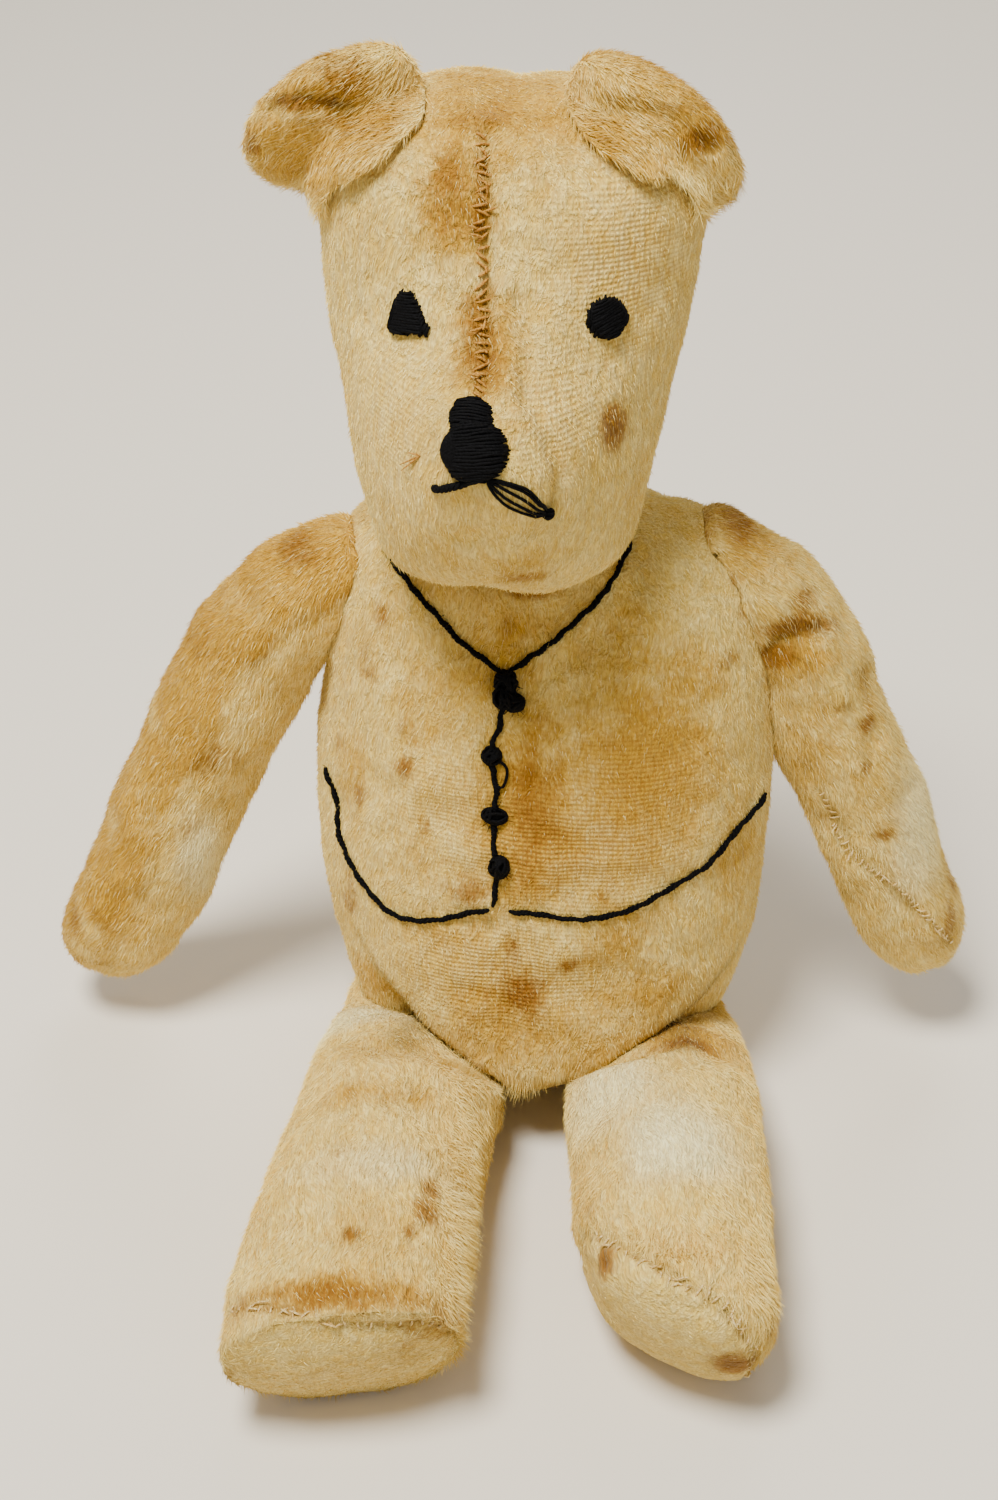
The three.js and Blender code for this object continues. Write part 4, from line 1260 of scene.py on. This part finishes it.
def make_leg(side):
    skin = stuffed_skin(f"leg_{side}", FINE_VOXEL)
    plump(skin, LEGS[side], 1.2 * MM, 3)
    finer(skin)
    bare, edge = slant_sole(skin, LEGS[side]) if side == "left" else square_sole(skin)
    # painted shade in the crease under the belly and round the foot's rim
    crease_shade = np.maximum(tuck_under_belly(skin), 0.3 * edge)
    hand = HAND[side]
    dress(skin, LEGS[side], (hand * 0.05, -1, -0.1), seam_depth=0.3, lump=1.0, seed=53 + hand,
          lying=True, crease_shade=crease_shade, bald=bare)
    return skin


def lay_floor():
    bm = bmesh.new()
    bmesh.ops.create_grid(bm, x_segments=1, y_segments=1, size=3)
    floor = object_from("floor", bm)
    material, _, surface = new_material("pale floor", 0.6)
    surface.inputs["Base Color"].default_value = linear(234, 226, 212)
    floor.data.materials.append(material)


look_through()
light_the_room()
lay_floor()

torso, head = make_torso(), make_head()
ears = {side: make_ear(side, head) for side in SIDES}
arms = {side: make_arm(side) for side in SIDES}
legs = {side: make_leg(side) for side in SIDES}
keep_clear(head, torso)
fill_joint(torso, arms["left"], 8 * MM, 1.4 * MM)
fill_joint(arms["left"], torso, 8 * MM, 1.8 * MM)
for side in SIDES:
    keep_clear(ears[side], head)
    keep_clear(arms[side], torso)
    keep_clear(arms[side], head)
    keep_clear(legs[side], torso)

upright_plush = plush_material("cream plush", (0, 0, 0))
arm_plush = {
    "left": plush_material("cream plush on the left arm", (0, math.radians(26), 0)),
    "right": plush_material("cream plush on the right arm", (0, math.radians(-28), 0)),
}
lying_plush = plush_material("cream plush on the legs", (math.radians(90), 0, 0))
fibres = fibre_material()
spike = make_spike()

skins = {torso: (TORSO, upright_plush), head: (HEAD, upright_plush)}
for side in SIDES:
    skins[ears[side]] = (EARS[side], upright_plush)
    skins[arms[side]] = (ARMS[side], arm_plush[side])
    skins[legs[side]] = (LEGS[side], lying_plush)

# How many fibres stand on a square millimetre of each piece, and how long they are in mm.
PILE = {"torso": (1.2, 1.55), "head": (1.25, 1.4), "ear": (2.7, 1.9), "arm": (1.7, 2.1), "leg": (1.7, 2.1)}
for number, (skin, (panels, plush)) in enumerate(skins.items()):
    skin.data.materials.append(plush)
    declare(skin, (*panels, f"{skin.name}_stuffing"))
    density, length = PILE[skin.name.split("_")[0]]
    declare(grow_pile(skin, spike, fibres, density, length, number * 7 + 1), ())
bpy.data.objects.remove(spike)

# ---------------------------------------------------------------- embroidery

black = thread_material("black embroidery thread", linear(1, 1, 2), linear(9, 9, 12), 0.75, 0.1)
tan = thread_material("tan sewing thread", linear(150, 98, 30), linear(205, 156, 76), 0.8, 0.2)
cream = thread_material("cream sewing thread", linear(196, 158, 84), linear(240, 218, 158), 0.8, 0.2)
chest, face = Surface(torso), Surface(head)

# The lines of the waistcoat, as shares of the torso's box.
SEWN_LINES = {
    "neckline_left": [(0.69, 0.53, 0.98), (0.63, 0.37, 0.94), (0.53, 0.32, 0.87), (0.415, 0.3, 0.805)],
    "neckline_right": [(0.16, 0.54, 0.93), (0.24, 0.43, 0.89), (0.32, 0.36, 0.84), (0.405, 0.3, 0.805)],
    "hem_left": [(0.42, 0.08, 0.45), (0.51, 0.06, 0.45), (0.61, 0.06, 0.45), (0.72, 0.09, 0.47), (0.83, 0.15, 0.5),
                 (0.91, 0.23, 0.54), (0.97, 0.36, 0.55)],
    "hem_right": [(0.03, 0.45, 0.56), (0.05, 0.35, 0.47), (0.12, 0.24, 0.42), (0.18, 0.17, 0.4), (0.28, 0.11, 0.42),
                  (0.38, 0.09, 0.45)],
}
for name, places in SEWN_LINES.items():
    route = [share_point(TORSO, place) for place in places]
    line = tubes("line", rope(chest, route), 0.34 * MM, black)
    line = join(name, [line, tubes("lint", lint(chest, route), 0.09 * MM, black, sides=0)])
    declare(line, [name.replace("_", "_stitch_")])


def make_eye(side, place, outline, turns):
    centre = face.at(share_point(HEAD, place), 0)
    strands = satin(face, centre, outline, turns[0], 0.75, 0.5)
    strands += satin(face, centre, [p * 0.93 for p in outline], turns[1], 1.15, 0.55)
    threads = tubes("threads", strands, 0.36 * MM, black)
    size = min(p.length for p in outline)
    pad = heart_pad(face, centre, (0.7 * size, 0.8, 0.7 * size), black)
    declare(join(f"eye_{side}_stitches", [threads, pad]), [f"eye_{side}"])


def oval(half_width, half_height, corners=16):
    turns = [2 * math.pi * i / corners for i in range(corners)]
    return [Vector((half_width * math.cos(turn), half_height * math.sin(turn))) for turn in turns]


BELL = [(-4.7, -3), (-4.3, -4.1), (0, -4.1), (4.4, -4), (4.7, -3), (3.8, -0.9), (2.9, 1.6), (1.4, 4.1), (-0.9, 4.3),
        (-2.6, 2), (-3.7, -0.5)]
make_eye("left", (0.74, 0.28, 0.66), oval(4.3, 4.1), (math.radians(70), math.radians(15)))
bell = [Matrix.Rotation(math.radians(14), 2) @ Vector(p) for p in BELL]
make_eye("right", (0.23, 0.3, 0.66), bell, (math.radians(80), math.radians(10)))


def nose():
    """A square block of stitches over a round one."""
    upper = face.at(share_point(HEAD, (0.395, 0.07, 0.555)), 0)
    lower = face.at(share_point(HEAD, (0.4, 0.03, 0.5)), 0)
    block = [Vector(p) for p in [(-4.6, -4.5), (-4.4, 1.4), (-2.8, 3.8), (1.8, 4), (4.1, 2.4), (4.6, -4.5)]]
    strands = satin(face, upper, block, math.radians(4), 1.0, 0.5, 0.3)
    strands += satin(face, upper, [p * 0.95 for p in block], math.radians(-4), 1.45, 0.55, 0.3)
    strands += satin(face, lower, oval(7.2, 6), math.radians(-3), 1.2, 0.5, 0.35)
    strands += satin(face, lower, oval(6.8, 5.5), math.radians(6), 1.8, 0.55, 0.35)
    threads = tubes("threads", strands, 0.36 * MM, black)
    pads = [heart_pad(face, upper, (3.3, 1.1, 3.5), black), heart_pad(face, lower, (6, 1.5, 5), black)]
    declare(join("nose_stitches", [threads, *pads]), ["nose"])


def mouth():
    """A thick bar of thread, and a pulled strand of loops that ends in a knot."""
    ends = [share_point(HEAD, place) for place in ((0.42, 0, 0.45), (0.365, 0.02, 0.43), (0.31, 0.05, 0.41))]
    bar = tubes("bar", rope(face, ends, 0.42 * MM, stitch=14 * MM), 0.42 * MM, black)
    caps = [heart_pad(face, face.at(end, 0.3 * MM), (1, 0.9, 0.9), black) for end in (ends[0], ends[-1])]
    declare(join("mouth_bar", [bar, *caps]), ["mouth_right"])
    start = face.at(share_point(HEAD, (0.43, 0, 0.45)), 0)
    end = face.at(share_point(HEAD, (0.585, 0.06, 0.348)), 0)
    outward = face.normal((start + end) / 2)
    strands = []
    for bow, high in ((2.9, 1.3), (2.2, 0.9), (0.9, 1.5), (-0.6, 1), (-1.7, 0.8)):
        strand = []
        for i in range(17):
            t = i / 16
            flat = start.lerp(end, t)
            side = face.normal(flat).cross(end - start).normalized()
            bend = math.sin(math.pi * t**0.85) * bow * MM
            spot = flat + side * bend + outward * (0.35 + high * math.sin(math.pi * t)) * MM
            low = face.at(spot, 0.35 * MM)
            strand.append(low if (spot - low).dot(outward) < 0 else spot)
        strands.append(strand)
    leaf = tubes("mouth_leaf", strands, 0.3 * MM, black)
    knot = tubes("mouth_knot", knot_loops(face, end, (1.1, 1, 0.9), 6), 0.32 * MM, black, cyclic=True)
    declare(join("mouth_loops", [leaf, knot]), ["mouth_left"])


# Each knot of the front edge: its share of the torso's box, and its half width, height and depth in mm.
KNOTS = [((0.414, 0.29, 0.794), (2.3, 2.6, 1.8)), ((0.432, 0.275, 0.764), (2, 1.8, 1.6)),
         ((0.412, 0.28, 0.772), (2.4, 2.4, 1.7)), ((0.385, 0.22, 0.69), (2, 1.9, 1.4)),
         ((0.39, 0.16, 0.6), (2.7, 1.7, 1.5)), ((0.4, 0.11, 0.525), (2.2, 2.5, 1.7))]


def front_edge():
    """The waistcoat's front edge, with its knots for buttons and one slack loop."""
    places = [(0.41, 0.31, 0.81), (0.405, 0.26, 0.74), (0.385, 0.23, 0.69), (0.395, 0.19, 0.64), (0.39, 0.16, 0.6),
              (0.395, 0.12, 0.52), (0.39, 0.09, 0.455)]
    edge = tubes("edge", rope(chest, [share_point(TORSO, place) for place in places]), 0.36 * MM, black)
    loop = [chest.at(share_point(TORSO, place), 0.8 * MM)
            for place in ((0.39, 0.23, 0.685), (0.415, 0.21, 0.67), (0.41, 0.19, 0.645), (0.39, 0.19, 0.65))]
    parts = [edge, tubes("loop", [smooth_path(loop, 0.6 * MM)], 0.34 * MM, black)]
    for place, size in KNOTS:
        centre = chest.at(share_point(TORSO, place), 0)
        hairs = []
        for _ in range(9):
            way = Vector([random.uniform(-1, 1) for _ in range(3)]).normalized() * size[0]
            hairs.append([chest.at(centre + way * t * MM, (1.3 - 0.5 * t) * MM) for t in (0.6, 1.1, 1.7)])
        parts.append(tubes("lint", hairs, 0.1 * MM, black, sides=0))
        parts.append(tubes("wraps", knot_loops(chest, centre, size, 10), 0.36 * MM, black, cyclic=True))
        parts.append(heart_pad(chest, centre, (size[0] * 0.85, size[2] * 1.2, size[1] * 0.85), black))
    declare(join("front_edge_and_knots", parts), ["front_edge_and_buttons"])


nose()
mouth()
front_edge()


def cross_stitches(name, skin, nodes, route, gap, reach, radius, material, loose, hidden=()):
    """Ragged stitches over a seam, with a few loose fibres. Lengths are in mm."""
    surface = Surface(skin)
    path = smooth_path([surface.at(share_point(nodes, place), 0) for place in route], gap * MM)
    strands = []
    for before, place in zip(path, path[1:]):
        along = (place - before).normalized()
        across = along.cross(surface.normal(place)).normalized()
        side = (across + along * random.uniform(-0.9, 0.9)).normalized()
        half = random.uniform(0.5, 1) * reach * MM
        middle = place + side * random.uniform(-0.3, 0.3) * reach * MM
        strands.append(
            [surface.at(middle + side * half * s, (0.55 * (1 - s * s) - 0.1) * MM) for s in (-1, -0.5, 0, 0.5, 1)]
        )
    for _ in range(loose):
        root = random.choice(path) + Vector((random.uniform(-1, 1), 0, 0)) * MM
        way = Vector((random.uniform(-1, 1), 0, random.uniform(-1, 0.4))).normalized()
        long = random.uniform(1.5, 3.5) * MM
        strands.append([surface.at(root + way * long * t, (0.1 + 1.2 * t) * MM) for t in (0, 0.35, 0.7, 1)])
    declare(tubes(name, strands, radius * MM, material), hidden)


cross_stitches("head_seam_stitches", head, HEAD, HEAD_SEAM, 1.5, 2, 0.27, tan, 9, ["head_seam_stitching"])
cross_stitches("arm_seam_stitches", arms["left"], ARMS["left"], ARM_SEAM, 1.7, 1.3, 0.22, cream, 5)
cross_stitches("pad_stitches", legs["left"], LEGS["left"], PAD_RIM, 2.2, 1.6, 0.24, cream, 8)
cross_stitches("sole_stitches", legs["right"], LEGS["right"], SOLE_SEAM, 2.4, 1.3, 0.22, cream, 8)


def loose_ends():
    """Rust-brown fibres that stand off beside the nose."""
    root = share_point(HEAD, (0.28, 0.1, 0.455))
    strands = []
    for across, up in ((-5.5, -2.2), (-4.6, -3.4), (-3, 0.6)):
        tip = Vector((across, 0, up)) * MM
        strands.append([face.at(root + tip * t, (0.1 + 1.3 * t) * MM) for t in (0, 0.3, 0.6, 1)])
    declare(tubes("loose_ends", strands, 0.17 * MM, tan), ())


loose_ends()
